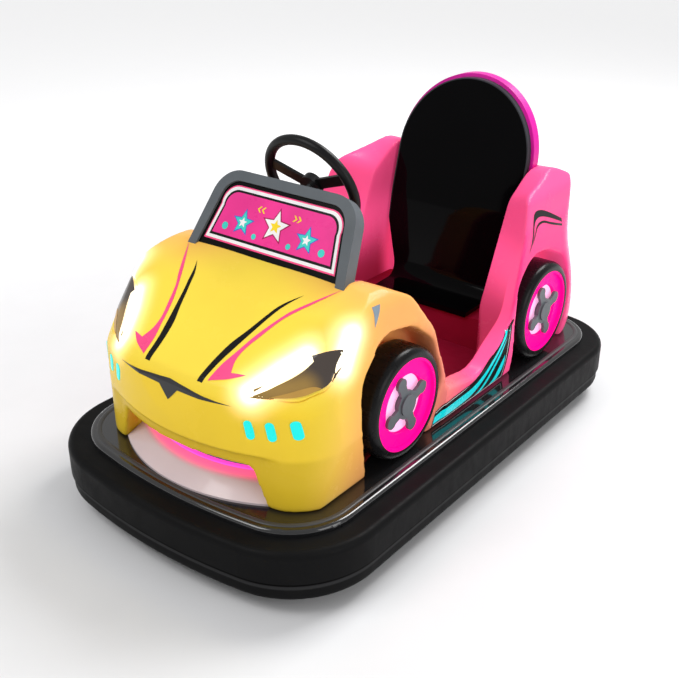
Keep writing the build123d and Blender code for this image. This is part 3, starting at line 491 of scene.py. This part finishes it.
    def glow(self, colour, strength):
        self.link(colour, self.bsdf.inputs["Emission Color"])
        self.link(strength, self.bsdf.inputs["Emission Strength"])


def plain(name, colour, rough, grain=400.0, depth=0.0002, **finish):
    """A moulded, printed or painted surface with fine grain."""
    shader = Shader(name)
    shader.finish(colour, rough, **finish)
    shader.bump(shader.noise(grain, detail=6.0, rough=0.6), strength=0.25, distance=depth)
    return shader.material


def lit(name, colour, strength):
    """A surface that glows in its own colour, with a fine ripple."""
    shader = Shader(name)
    shader.finish(colour, rough=0.25, spread=0.05)
    shader.glow(colour, strength)
    shader.bump(shader.noise(180.0, detail=2.0), strength=0.3, distance=0.0004)
    return shader.material


def front_colour(shader, side, y, z, back):
    """Yellow nose with painted shade under its crease, orange wings that turn pink, and the foot
    space a darker crimson that is partly painted shade.
    """
    ahead = shader.steps(y, *NOSE_Y_FADE)
    base = shader.mix(shader.product(shader.steps(z, *FASCIA_Z_FADE), ahead), YELLOW, FASCIA)
    # Painted shade under the crease
    under = shader.product(shader.steps(z, *UNDERCUT_Z_FADE), UNDERCUT_SHARE, ahead)
    base = shader.mix(under, base, UNDERCUT_SHADE)
    base = shader.mix(shader.steps(back, *ORANGE_BACK_FADE), base, ORANGE)
    base = shader.mix(shader.steps(back, *PINK_BACK_FADE), base, PINK)
    # The foot space: a darker crimson, partly painted shade
    behind = shader.maths("ADD", y, -FOOT_NOSE_Y)
    roof = shader.maths("ADD", shader.maths("MULTIPLY", behind, FOOT_ROOF_SLOPE), FOOT_ROOF_Z)
    room = shader.product(
        shader.steps(side, *FOOT_SIDE_FADE),
        shader.steps(y, *FOOT_Y_FADE),
        shader.steps(shader.maths("SUBTRACT", z, roof), *FOOT_ROOF_FADE),
    )
    return shader.mix(room, base, INSIDE_SHADED_CRIMSON)


def rear_colour(shader, side, y, z, back):
    """Pink, darker on the flanks as painted shade, orange at the seam and a darker crimson in the
    cockpit that is partly painted shade, and a mask of the wall beside the seat, which glows with
    painted light as if lit from its front."""
    # Painted shade: the flanks take a darker pink
    flank = shader.product(shader.steps(side, *FLANK_SIDE_FADE), shader.steps(z, *FLANK_Z_FADE))
    base = shader.mix(flank, PINK, SHADED_FLANK_PINK)
    base = shader.mix(shader.steps(back, *PINK_BACK_FADE), ORANGE, base)
    # The cockpit's lower inside: a darker crimson, partly painted shade
    room = shader.product(
        shader.steps(side, *ROOM_SIDE_FADE),
        shader.steps(z, *ROOM_Z_FADE),
        shader.steps(y, *ROOM_Y_FADE),
    )
    # Painted light on the wall beside the seat, as a glow
    wall_painted_light = shader.product(
        shader.steps(y, *WALL_FRONT_FADE),
        shader.steps(y, *WALL_BACK_FADE),
        shader.steps(z, *WALL_Z_FADE),
        shader.maths("SUBTRACT", 1.0, shader.maths("MAXIMUM", flank, room)),
    )
    return shader.mix(room, base, INSIDE_SHADED_CRIMSON), wall_painted_light


def body_paint(name, front):
    """Gloss paint that goes from yellow at the nose through orange to pink."""
    shader = Shader(name)
    x, y, z = shader.axes()
    side = shader.maths("ABSOLUTE", x)
    back = shader.maths("ADD", y, shader.maths("MULTIPLY", side, BACK_BY_SIDE))
    back = shader.maths("SUBTRACT", back, shader.maths("MULTIPLY", z, BACK_BY_HEIGHT))
    if front:
        base = front_colour(shader, side, y, z, back)
        shader.lamp_glow()
    else:
        base, wall_painted_light = rear_colour(shader, side, y, z, back)
        # The wall beside the seat glows in its own colour: painted light
        shader.glow(base, shader.steps(wall_painted_light, 0.0, 1.0, *WALL_GLOW))
    shader.clouded(base, PAINT_STAIN, share=0.05, scale=4.0)
    shader.smeared(shader.noise(9.0, detail=6.0, rough=0.65), low=0.18, high=0.30)
    shader.gloss(specular=0.08, coat=0.04, coat_rough=0.04)
    shader.bump(shader.noise(260.0), strength=0.03, distance=0.0001)
    return shader.material


def rim_paint(name, centre_y):
    """Magenta rim whose dish behind the hub's spokes is light pink, and which glows in its own
    colour with painted light.
    """
    shader = Shader(name)
    x, y, z = shader.axes()
    across = shader.maths("SUBTRACT", y, centre_y)
    reach = shader.radius(across, shader.maths("SUBTRACT", z, SHOW_Z))
    base = shader.mix(shader.steps(reach, *RIM_DISH_FADE), RIM_MAGENTA, LIGHT_PINK)
    shader.clouded(base, RIM_STAIN, share=0.08, scale=7.0)
    shader.smeared(shader.noise(12.0, detail=6.0), low=0.25, high=0.42)
    shader.gloss(specular=0.03)
    # Painted light: the rim glows in its own colour
    shader.glow(base, RIM_GLOW)
    shader.bump(shader.noise(300.0, detail=5.0), strength=0.15, distance=0.0002)
    return shader.material


def rubber(name):
    """Matt black rubber: grained and dusty, with painted shade at the bumper's seam and a painted
    highlight on the edge under it."""
    shader = Shader(name)
    shader.finish(RUBBER, rough=0.40, spread=0.25, specular=0.035)
    dust = shader.noise(9.0, detail=5.0, rough=0.6, stretch=(1.0, 1.0, 2.0))
    base = shader.mix(shader.steps(dust, *DUST_RANGE, 0.0, DUST_SHARE), RUBBER, RUBBER_DUST)
    x, y, z = shader.axes()
    # Painted shade at the seam, painted highlight on the edge under it
    for height, fade, colour in (
        (BUMPER_SEAM_Z, SEAM_FADE, RUBBER_SEAM_SHADE),
        (SEAM_EDGE_Z, SEAM_EDGE_FADE, RUBBER_EDGE_HIGHLIGHT),
    ):
        away = shader.maths("ABSOLUTE", shader.maths("SUBTRACT", z, height))
        base = shader.mix(shader.steps(away, *fade), base, colour)
    shader.link(base, shader.bsdf.inputs["Base Color"])
    shader.bump(shader.noise(320.0, detail=8.0, rough=0.7), strength=0.25, distance=0.0005)
    return shader.material


def seat_paint(name):
    """Gloss black whose outer edge is grey."""
    shader = Shader(name)
    x, y, z = shader.axes()
    above = shader.maths("MAXIMUM", shader.maths("SUBTRACT", z, SEAT_TOP_Z - SEAT_HALF), 0.0)
    edge = shader.steps(shader.radius(x, above), *SEAT_EDGE_FADE)
    shader.finish(shader.mix(edge, SEAT_BLACK, SEAT_EDGE), rough=0.06, specular=0.06, spread=0.2)
    shader.bump(shader.noise(240.0), strength=0.05, distance=0.0002)
    return shader.material


def tray_paint(name):
    """White tray with the light strip's pink light painted on towards its back, as colour and glow.
    """
    shader = Shader(name)
    x, y, z = shader.axes()
    reach = shader.radius(x, shader.maths("SUBTRACT", y, TRAY_AXIS_Y))
    near = shader.steps(reach, *TRAY_FADE)
    shader.finish(shader.mix(near, TRAY_WHITE, TRAY_PAINTED_PINK_LIGHT), rough=0.22, coat=0.3, spread=0.04)
    shader.glow(TRAY_GLOW, shader.product(shader.maths("POWER", near, TRAY_FALL), TRAY_STRENGTH))
    shader.bump(shader.noise(300.0), strength=0.10, distance=0.0002)
    return shader.material


def lens_paint(name):
    """Smoked lens: dark at its outer end, amber along its lower edge."""
    shader = Shader(name)
    amber = shader.steps(shader.reach(shader.folded(), *LENS_LOW_RUN), *LENS_AMBER_FADE)
    colour = shader.mix(amber, LENS_SMOKE, LENS_AMBER)
    shader.finish(colour, rough=0.10, coat=0.3, coat_rough=0.02, specular=0.1, spread=0.1)
    shader.bump(shader.noise(200.0, detail=3.0), strength=0.05, distance=0.0001)
    return shader.material


def mesh_sheet(name):
    """Blue expanded metal: rows of dark round holes."""
    shader = Shader(name)
    shader.finish(BLUE, rough=0.45, metallic=0.3)
    holes = shader.tree.nodes.new("ShaderNodeTexVoronoi")
    holes.feature = "F1"
    holes.inputs["Scale"].default_value = MESH_HOLES
    holes.inputs["Randomness"].default_value = 0.0
    shader.link(shader.place, holes.inputs["Vector"])
    hole = shader.steps(holes.outputs["Distance"], *MESH_HOLE_FADE)
    shader.link(shader.mix(hole, BLUE, BLUE_HOLE), shader.bsdf.inputs["Base Color"])
    shader.bump(shader.maths("SUBTRACT", 1.0, hole), strength=0.6, distance=0.0015)
    return shader.material


def paint(material, *names):
    for name in names:
        mesh = nodes[name].data
        mesh.materials.clear()
        mesh.materials.append(material)


def made(name, mesh, material, body="chassis"):
    piece = bpy.data.objects.new(name, mesh)
    bpy.context.scene.collection.objects.link(piece)
    mesh.materials.clear()
    mesh.materials.append(material)
    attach(piece, body)
    return piece


# Body skins: the shell's solids fused, rounded as a moulding is, and split at their seam
def moulded_shell():
    shell = bmesh.new()
    for name in ("front_body", "rear_body"):
        shell.from_mesh(nodes[name].data)
    bmesh.ops.remove_doubles(shell, verts=shell.verts, dist=WELD)
    mesh = bpy.data.meshes.new("shell_block")
    shell.to_mesh(mesh)
    shell.free()
    block = bpy.data.objects.new("shell_block", mesh)
    bpy.context.scene.collection.objects.link(block)
    remesh = block.modifiers.new("voxels", "REMESH")
    remesh.mode = "VOXEL"
    remesh.voxel_size = SKIN_VOXEL
    smooth = block.modifiers.new("rounding", "SMOOTH")
    smooth.factor = SKIN_SMOOTH
    smooth.iterations = SKIN_ROUNDS
    evaluated = block.evaluated_get(bpy.context.evaluated_depsgraph_get())
    result = bpy.data.meshes.new_from_object(evaluated)
    bpy.data.objects.remove(block)
    return result


def half_shell(mesh, name, ahead):
    half = bmesh.new()
    half.from_mesh(mesh)
    everything = half.verts[:] + half.edges[:] + half.faces[:]
    bmesh.ops.bisect_plane(
        half,
        geom=everything,
        plane_co=(0, BODY_SEAM_Y, 0),
        plane_no=(0, 1, 0),
        clear_outer=ahead,
        clear_inner=not ahead,
    )
    for vertex in half.verts:
        vertex.co.z = max(vertex.co.z, DECK_TOP)
    result = bpy.data.meshes.new(name)
    half.to_mesh(result)
    half.free()
    result.shade_smooth()
    return result


def eased(value):
    share = min(1.0, max(0.0, value))
    return share * share * (3 - 2 * share)


def open_mouth(mesh):
    """Raises the mouth's upper edge and creases and undercuts the lip over it."""
    for vertex in mesh.vertices:
        x, y, z = vertex.co
        share = eased((LIP_FRONT_Y - y) / LIP_FRONT_RUN) * eased(1 - (abs(x) - LIP_HALF) / LIP_FADE)
        if share == 0 or z > LIP_CALM_Z:
            continue
        if z < LIP_Z:
            rise = (z - DECK_TOP) / (LIP_Z - DECK_TOP)
        else:
            rise = (LIP_CALM_Z - z) / (LIP_CALM_Z - LIP_Z)
        z += LIP_RAISE * share * max(0.0, rise)
        y += LIP_UNDERCUT * share * eased((LIP_CREASE_Z - z) / LIP_CREASE_RUN)
        vertex.co = (x, y, z)


shell_mesh = moulded_shell()
open_mouth(shell_mesh)
front_mesh = half_shell(shell_mesh, "front_shell_skin", ahead=True)
front_skin = made("front_shell_skin", front_mesh, body_paint("front_paint", True))
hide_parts("front_body")
rear_mesh = half_shell(shell_mesh, "rear_shell_skin", ahead=False)
rear_skin = made("rear_shell_skin", rear_mesh, body_paint("rear_paint", False))
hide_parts("rear_body")


# Decals: thin sheets laid on a surface along rays
class Surface:
    """Meshes that decals are laid on."""

    def __init__(self, *pieces):
        points = []
        faces = []
        for piece in pieces:
            start = len(points)
            points += [piece.matrix_world @ vertex.co for vertex in piece.data.vertices]
            for polygon in piece.data.polygons:
                faces.append([start + index for index in polygon.vertices])
        self.tree = BVHTree.FromPolygons(points, faces)

    def lay(self, origin, direction, lift):
        hit, normal, index, distance = self.tree.ray_cast(origin, direction)
        if hit is None:
            hit, normal, index, distance = self.tree.find_nearest(origin)
        if normal.dot(direction) > 0:
            normal = -normal
        return hit + normal * lift


def curve(run, parts=6):
    """Points of a smooth curve through the run's points."""
    out = []
    for index in range(len(run) - 1):
        a = run[max(index - 1, 0)]
        b = run[index]
        c = run[index + 1]
        d = run[min(index + 2, len(run) - 1)]
        steps = parts if len(run) > 2 else 1
        for part in range(steps):
            t = part / steps
            out.append(
                tuple(
                    0.5
                    * (
                        2 * q
                        + (r - p) * t
                        + (2 * p - 5 * q + 4 * r - w) * t * t
                        + (3 * q - p - 3 * r + w) * t**3
                    )
                    for p, q, r, w in zip(a, b, c, d)
                )
            )
    return out


def closed(runs):
    """The outline of a shape whose runs meet at its corners, in metres."""
    return [(u * MM, v * MM) for run in runs for u, v in curve(run)]


def inside(outline, u, v):
    """Whether a ray from the point crosses the outline an odd number of times."""
    found = False
    for (a, b), (c, d) in zip(outline, outline[1:] + outline[:1]):
        if (b > v) != (d > v) and u < (c - a) * (v - b) / (d - b) + a:
            found = not found
    return found


def sheet(name, outline, place, step=DECAL_STEP):
    """A mesh of the outline with points between, each put where place says."""
    area = sum(a * d - c * b for (a, b), (c, d) in zip(outline, outline[1:] + outline[:1]))
    if area < 0:
        outline = outline[::-1]
    low = [min(point[axis] for point in outline) for axis in (0, 1)]
    high = [max(point[axis] for point in outline) for axis in (0, 1)]
    points = [Vector(point) for point in outline]
    across = int((high[0] - low[0]) / step)
    up = int((high[1] - low[1]) / step)
    for i in range(1, across + 1):
        for j in range(1, up + 1):
            u = low[0] + i * step
            v = low[1] + j * step
            if inside(outline, u, v):
                points.append(Vector((u, v)))
    verts, edges, faces, *rest = delaunay_2d_cdt(points, [], [list(range(len(outline)))], 1, WELD)
    mesh = bpy.data.meshes.new(name)
    mesh.from_pydata([place(u, v) for u, v in verts], [], faces)
    mesh.validate()
    mesh.shade_smooth()
    return mesh


def divided(outline, step):
    """The same outline with points between, so its edge follows a curved surface."""
    out = []
    for (a, b), (c, d) in zip(outline, outline[1:] + outline[:1]):
        parts = max(1, math.ceil(math.hypot(c - a, d - b) / step))
        out += [(a + (c - a) * part / parts, b + (d - b) * part / parts) for part in range(parts)]
    return out


def both_sides(name, runs, place, surface, material, slot, lift, step):
    """The same decal on the left side and, mirrored, on the right."""
    outline = divided(closed(runs), step)
    for side, end in ((1, "left"), (-1, "right")):
        def put(u, v):
            return surface.lay(*place(side, u, v), lift)

        made(f"{name}_{end}", sheet(f"{name}_{end}", outline, put, step), material)


def from_above(side, x, y):
    return Vector((side * x, y, RAY_TOP)), Vector((0, 0, -1))


def from_side(side, y, z):
    return Vector((side * RAY_SIDE, y, z)), Vector((-side, 0, 0))


nose = Surface(front_skin, nodes["headlamps"])
flank = Surface(front_skin, rear_skin)
DECAL_BLACK = plain("decal_black", PRINT_BLACK, rough=0.3, specular=0.15)
DECAL_PINK = plain("decal_pink", (0.93, 0.07, 0.24), rough=0.3, specular=0.25)
DECAL_GREY = plain("decal_grey", (0.20, 0.26, 0.32), rough=0.22, coat=0.3)
# The cyan print glows in its own colour: painted light
DECAL_CYAN_GLOW = lit("decal_cyan", (0.0, 0.58, 0.62), strength=0.50)
DECAL_WHITE = plain("decal_white", (0.86, 0.85, 0.86), rough=0.3, specular=0.25)
LENS_DARK_PAINT = lens_paint("smoked_lens")
LENS_GOLD_PAINT = plain("lens_gold", (0.52, 0.30, 0.075), rough=0.2, specular=0.1)
for name, runs, place, surface, material, slot, lay in (
    ("bonnet_black_stripe", BLACK_STRIPE, from_above, nose, DECAL_BLACK, "front_shell", DECAL_LAY),
    ("bonnet_pink_stripe", PINK_STRIPE, from_above, nose, DECAL_PINK, "front_shell", DECAL_LAY),
    ("wing_vent", WING_VENT, from_side, flank, DECAL_GREY, "front_shell", DECAL_LAY),
    ("side_patch", SIDE_PATCH, from_side, flank, DECAL_BLACK, "rear_shell", PATCH_LAY),
    ("side_edge", PATCH_EDGE, from_side, flank, DECAL_WHITE, "rear_shell", STRIPE_LAY),
    ("side_top_edge", PATCH_TOP_EDGE, from_side, flank, DECAL_WHITE, "rear_shell", STRIPE_LAY),
    ("side_stripe_long", STRIPE_LONG, from_side, flank, DECAL_CYAN_GLOW, "rear_shell", STRIPE_LAY),
    ("side_stripe_middle", STRIPE_MIDDLE, from_side, flank, DECAL_CYAN_GLOW, "rear_shell", STRIPE_LAY),
    ("side_stripe_short", STRIPE_SHORT, from_side, flank, DECAL_CYAN_GLOW, "rear_shell", STRIPE_LAY),
    ("swoosh_thick", SWOOSH_THICK, from_side, flank, DECAL_BLACK, "rear_shell", DECAL_LAY),
    ("swoosh_thin", SWOOSH_THIN, from_side, flank, DECAL_BLACK, "rear_shell", DECAL_LAY),
    ("lamp_lens", LENS_DARK, from_above, nose, LENS_DARK_PAINT, "lamp_smoke", LENS_LAY),
    ("lamp_lens_gold", LENS_GOLD, from_above, nose, LENS_GOLD_PAINT, "lamp_smoke", GOLD_LAY),
    ("lamp_dash", LENS_DASH, from_above, nose, LENS_DARK_PAINT, "lamp_smoke", LENS_LAY),
):
    both_sides(name, runs, place, surface, material, slot, *lay)


# Windscreen panel: nested bands round a field with a plain pattern of stars
def on_panel(u, v, lift):
    """The place on the tilted screen that is u across, v up and lift in front of it."""
    return SCREEN_BASE + Vector((u, 0, 0)) + SCREEN_UP * v + SCREEN_OUT * lift


def panel_outline(inset, foot):
    half = PANEL_BASE_HALF - inset
    top = PANEL_HEIGHT - inset
    radius = PANEL_CORNER_R - inset * PANEL_CORNER_SHRINK
    low = PANEL_FOOT + foot
    top_half = half - PANEL_TAPER * top
    points = [(half - PANEL_TAPER * low, low)]
    centre = (top_half - radius * PANEL_CORNER_NARROW, top - radius)
    for step in range(PANEL_CORNER_PARTS + 1):
        angle = math.radians(PANEL_CORNER_START + PANEL_CORNER_TURN * step / PANEL_CORNER_PARTS)
        points.append((centre[0] + radius * math.cos(angle), centre[1] + radius * math.sin(angle)))
    return points + [(-u, v) for u, v in reversed(points)]


def star(centre, radius, points=5, waist=0.45, turn=90.0):
    out = []
    for step in range(2 * points):
        angle = math.radians(turn + 180 * step / points)
        reach = radius if step % 2 == 0 else radius * waist
        out.append((centre[0] + reach * math.cos(angle), centre[1] + reach * math.sin(angle)))
    return out


def chevron(centre, size, way):
    u, v = centre
    w = way * size
    return [
        (u - w * 0.5, v + size * 0.6), (u - w * 0.1, v + size * 0.6), (u + w * 0.5, v),
        (u - w * 0.1, v - size * 0.6), (u - w * 0.5, v - size * 0.6), (u + w * 0.1, v),
    ]


def panel_art():
    yellow = plain("art_yellow", (0.90, 0.66, 0.02), rough=0.3, specular=0.2)
    teal = plain("art_teal", (0.05, 0.62, 0.55), rough=0.3, specular=0.2)
    blue = plain("art_blue", (0.04, 0.14, 0.60), rough=0.3, specular=0.2)
    field = plain("art_pink", (0.83, 0.035, 0.28), rough=0.3, specular=0.2)
    crimson = plain("art_crimson", (0.35, 0.01, 0.08), rough=0.3, specular=0.2)
    shapes = [
        # name, outline, material, lift in millimetres
        ("screen_line_magenta", panel_outline(inset=0.013, foot=0.020), DECAL_PINK, 0.4),
        ("screen_line_white", panel_outline(inset=0.017, foot=0.025), DECAL_WHITE, 0.8),
        ("screen_line_black", panel_outline(inset=0.027, foot=0.035), DECAL_BLACK, 1.2),
        ("screen_field", panel_outline(inset=0.034, foot=0.043), field, 1.6),
    ]
    layers = [
        # part, share of the star's radius, lift in millimetres
        ("edge", 1.0, 2.0),
        ("body", 0.84, 2.4),
        ("heart", 0.38, 2.8),
    ]
    stars = [
        # across, up, radius, and the ink of each layer
        (0.0, 0.112, 0.058, crimson, DECAL_WHITE, yellow),
        (-0.125, 0.098, 0.044, blue, teal, DECAL_WHITE),
        (0.125, 0.098, 0.044, blue, teal, DECAL_WHITE),
    ]
    for index, (u, v, radius, *inks) in enumerate(stars):
        for (part, share, lift), ink in zip(layers, inks):
            shapes.append((f"screen_star_{index}_{part}", star((u, v), radius * share), ink, lift))
    for index, u in enumerate((-0.062, -0.078, 0.062, 0.078)):
        outline = chevron((u, 0.150), size=0.016, way=1 if u > 0 else -1)
        shapes.append((f"screen_chevron_{index}", outline, yellow, 2.0))
    dots = [
        # across, up, radius
        (-0.19, 0.075, 0.012),
        (0.19, 0.075, 0.012),
        (-0.068, 0.066, 0.009),
        (0.068, 0.066, 0.009),
    ]
    for index, (u, v, radius) in enumerate(dots):
        outline = star((u, v), radius, points=12, waist=0.98)
        shapes.append((f"screen_dot_{index}", outline, teal, 2.0))
    for name, outline, material, lift in shapes:
        mesh = sheet(name, outline, lambda u, v: on_panel(u, v, lift * MM))
        made(name, mesh, material)


panel_art()


# Raised bead along the deck's edge
def deck_bead():
    corners = [vertex.co for vertex in nodes["deck"].data.vertices]
    top = max(corner.z for corner in corners)
    points = [Vector((c.x, c.y)) for c in corners if c.z > top - DECK_TOP_GAP]
    reach = max(math.hypot(*point) for point in points)
    rim = {}
    for point in points:
        rim.setdefault(round(math.atan2(point.y, point.x), 2), []).append(point)
    ring = [max(group, key=lambda point: point.length) for angle, group in sorted(rim.items())]
    ring = [point for point in ring if point.length > DECK_EDGE_SHARE * reach]
    count = len(ring)
    line = []
    for index, point in enumerate(ring):
        run = ring[(index + 1) % count] - ring[index - 1]
        inward = Vector((-run.y, run.x)).normalized()
        line.append(point + inward * BEAD_IN)
    bead = bmesh.new()
    rows = []
    for index, point in enumerate(line):
        run = (line[(index + 1) % count] - line[index - 1]).normalized()
        out = Vector((run.y, -run.x))
        row = []
        for step in range(BEAD_PARTS + 1):
            angle = math.pi * step / BEAD_PARTS
            place = point + out * (BEAD_R * math.cos(angle))
            rise = BEAD_R * BEAD_RISE * math.sin(angle)
            row.append(bead.verts.new((place.x, place.y, top + rise)))
        rows.append(row)
    for index, row in enumerate(rows):
        after = rows[(index + 1) % count]
        for step in range(BEAD_PARTS):
            bead.faces.new((row[step], after[step], after[step + 1], row[step + 1]))
    bmesh.ops.recalc_face_normals(bead, faces=bead.faces)
    mesh = bpy.data.meshes.new("deck_bead")
    bead.to_mesh(mesh)
    bead.free()
    mesh.shade_smooth()
    return mesh


bead_dark = plain("bead_dark", (0.050, 0.050, 0.052), rough=0.34, specular=0.3)
made("deck_bead", deck_bead(), bead_dark)

# Materials of the nodes that keep their own solids
for material, *names in (
    (rubber("bumper_rubber"), "bumper_upper", "bumper_lower"),
    (plain("gloss_black", BLACK, rough=0.14, coat=0.8, spread=0.2), "deck", "dash"),
    (seat_paint("seat_black"), "seat_board"),
    (
        plain("frame_paint", (0.045, 0.047, 0.050), rough=0.5, grain=160.0, depth=0.0005),
        "chassis_frame",
        "rear_axle",
    ),
    (
        plain("crimson_floor", CRIMSON, rough=0.45, grain=220.0, depth=0.0006, specular=0.06),
        "cockpit_floor",
        "seat_base",
    ),
    (plain("magenta_cover", MAGENTA, rough=0.30, specular=0.2), "seat_cover"),
    (plain("battery_case", (0.05, 0.05, 0.055), rough=0.6), "battery_box"),
    (tray_paint("tray_white"), "mouth_tray"),
    (lit("mouth_light", (1.0, 0.06, 0.50), strength=1.1), "mouth_light"),
    (mesh_sheet("blue_mesh"), "mouth_mesh"),
    (front_skin.data.materials[0], "headlamps"),
    (plain("trim_dark", (0.022, 0.022, 0.024), rough=0.35), "nose_trim"),
    (lit("led_cyan", CYAN, strength=1.2), "led_bars"),
    (lit("tail_yellow", (1.0, 0.86, 0.02), strength=1.3), "tail_lamps"),
    (plain("pedal_steel", STEEL, rough=0.35, metallic=0.9), "pedal"),
    (plain("screen_grey", GREY, rough=0.38, specular=0.15), "windscreen_frame"),
    (plain("screen_black", PRINT_BLACK, rough=0.2, specular=0.08), "windscreen_panel"),
    (
        plain("wheel_black", WHEEL_BLACK, rough=0.34, grain=500.0, depth=0.0004, specular=0.16),
        "steering_wheel",
    ),
    (plain("shaft_steel", STEEL, rough=0.3, metallic=1.0), "steering_shaft"),
    (
        plain("running_steel", (0.20, 0.21, 0.22), rough=0.42, metallic=0.9),
        "drive_fork",
        "drive_hub",
        "rear_hub_left",
        "rear_hub_right",
    ),
    (rubber("running_rubber"), "drive_tyre", "rear_tyre_left", "rear_tyre_right"),
):
    paint(material, *names)
show_tyre = plain(
    "show_tyre_black", WHEEL_BLACK, rough=0.26, grain=300.0, depth=0.0004, specular=0.14
)
hub_grey = plain("hub_grey", GREY, rough=0.42)
for end, centre_y in (("front", SHOW_FRONT_Y), ("rear", SHOW_REAR_Y)):
    rim = rim_paint(f"rim_paint_{end}", centre_y)
    for side in ("left", "right"):
        paint(show_tyre, f"show_tyre_{end}_{side}")
        paint(rim, f"show_rim_{end}_{side}")
        paint(hub_grey, f"show_hub_{end}_{side}")


# Stage: pale floor, soft lights and the photograph's viewpoint
def pale_floor():
    floor = bmesh.new()
    bmesh.ops.create_grid(floor, x_segments=FLOOR_CELLS, y_segments=FLOOR_CELLS, size=FLOOR_SIZE)
    mesh = bpy.data.meshes.new("floor")
    floor.to_mesh(mesh)
    floor.free()
    piece = bpy.data.objects.new("floor", mesh)
    bpy.context.scene.collection.objects.link(piece)
    shader = Shader("floor_pale")
    shader.finish(FLOOR, rough=0.7, spread=0.01, specular=0.1)
    x, y, z = shader.axes()
    # The floor glows more the further it is from the car: painted light that whitens it away from
    # the car
    away = shader.steps(shader.radius(x, y), *FLOOR_GLOW_FADE, 0.0, FLOOR_GLOW)
    shader.glow((1.0, 1.0, 1.0), away)
    mesh.materials.append(shader.material)


def studio():
    world = bpy.data.worlds.new("studio")
    world.use_nodes = True
    background = world.node_tree.nodes["Background"]
    background.inputs["Color"].default_value = (1.0, 1.0, 1.0, 1.0)
    background.inputs["Strength"].default_value = WORLD_STRENGTH
    bpy.context.scene.world = world
    for name, place, size, watts in LIGHTS:
        light = bpy.data.lights.new(name, "AREA")
        light.size = size
        light.energy = watts
        lamp = bpy.data.objects.new(name, light)
        lamp.location = place
        lamp.rotation_euler = (LIGHT_AIM - Vector(place)).to_track_quat("-Z", "Y").to_euler()
        bpy.context.scene.collection.objects.link(lamp)


def viewpoint():
    view = bpy.data.cameras.new("camera")
    view.lens = LENS
    view.sensor_width = SENSOR_WIDTH
    view.sensor_fit = "HORIZONTAL"
    camera = bpy.data.objects.new("camera", view)
    level = math.cos(CAMERA_ELEVATION)
    direction = Vector(
        (
            math.sin(CAMERA_AZIMUTH) * level,
            -math.cos(CAMERA_AZIMUTH) * level,
            math.sin(CAMERA_ELEVATION),
        )
    )
    camera.location = CAMERA_TARGET + CAMERA_DISTANCE * direction
    camera.rotation_euler = (-direction).to_track_quat("-Z", "Y").to_euler()
    bpy.context.scene.collection.objects.link(camera)
    bpy.context.scene.camera = camera
    bpy.context.scene.view_settings.view_transform = "Standard"


pale_floor()
studio()
viewpoint()
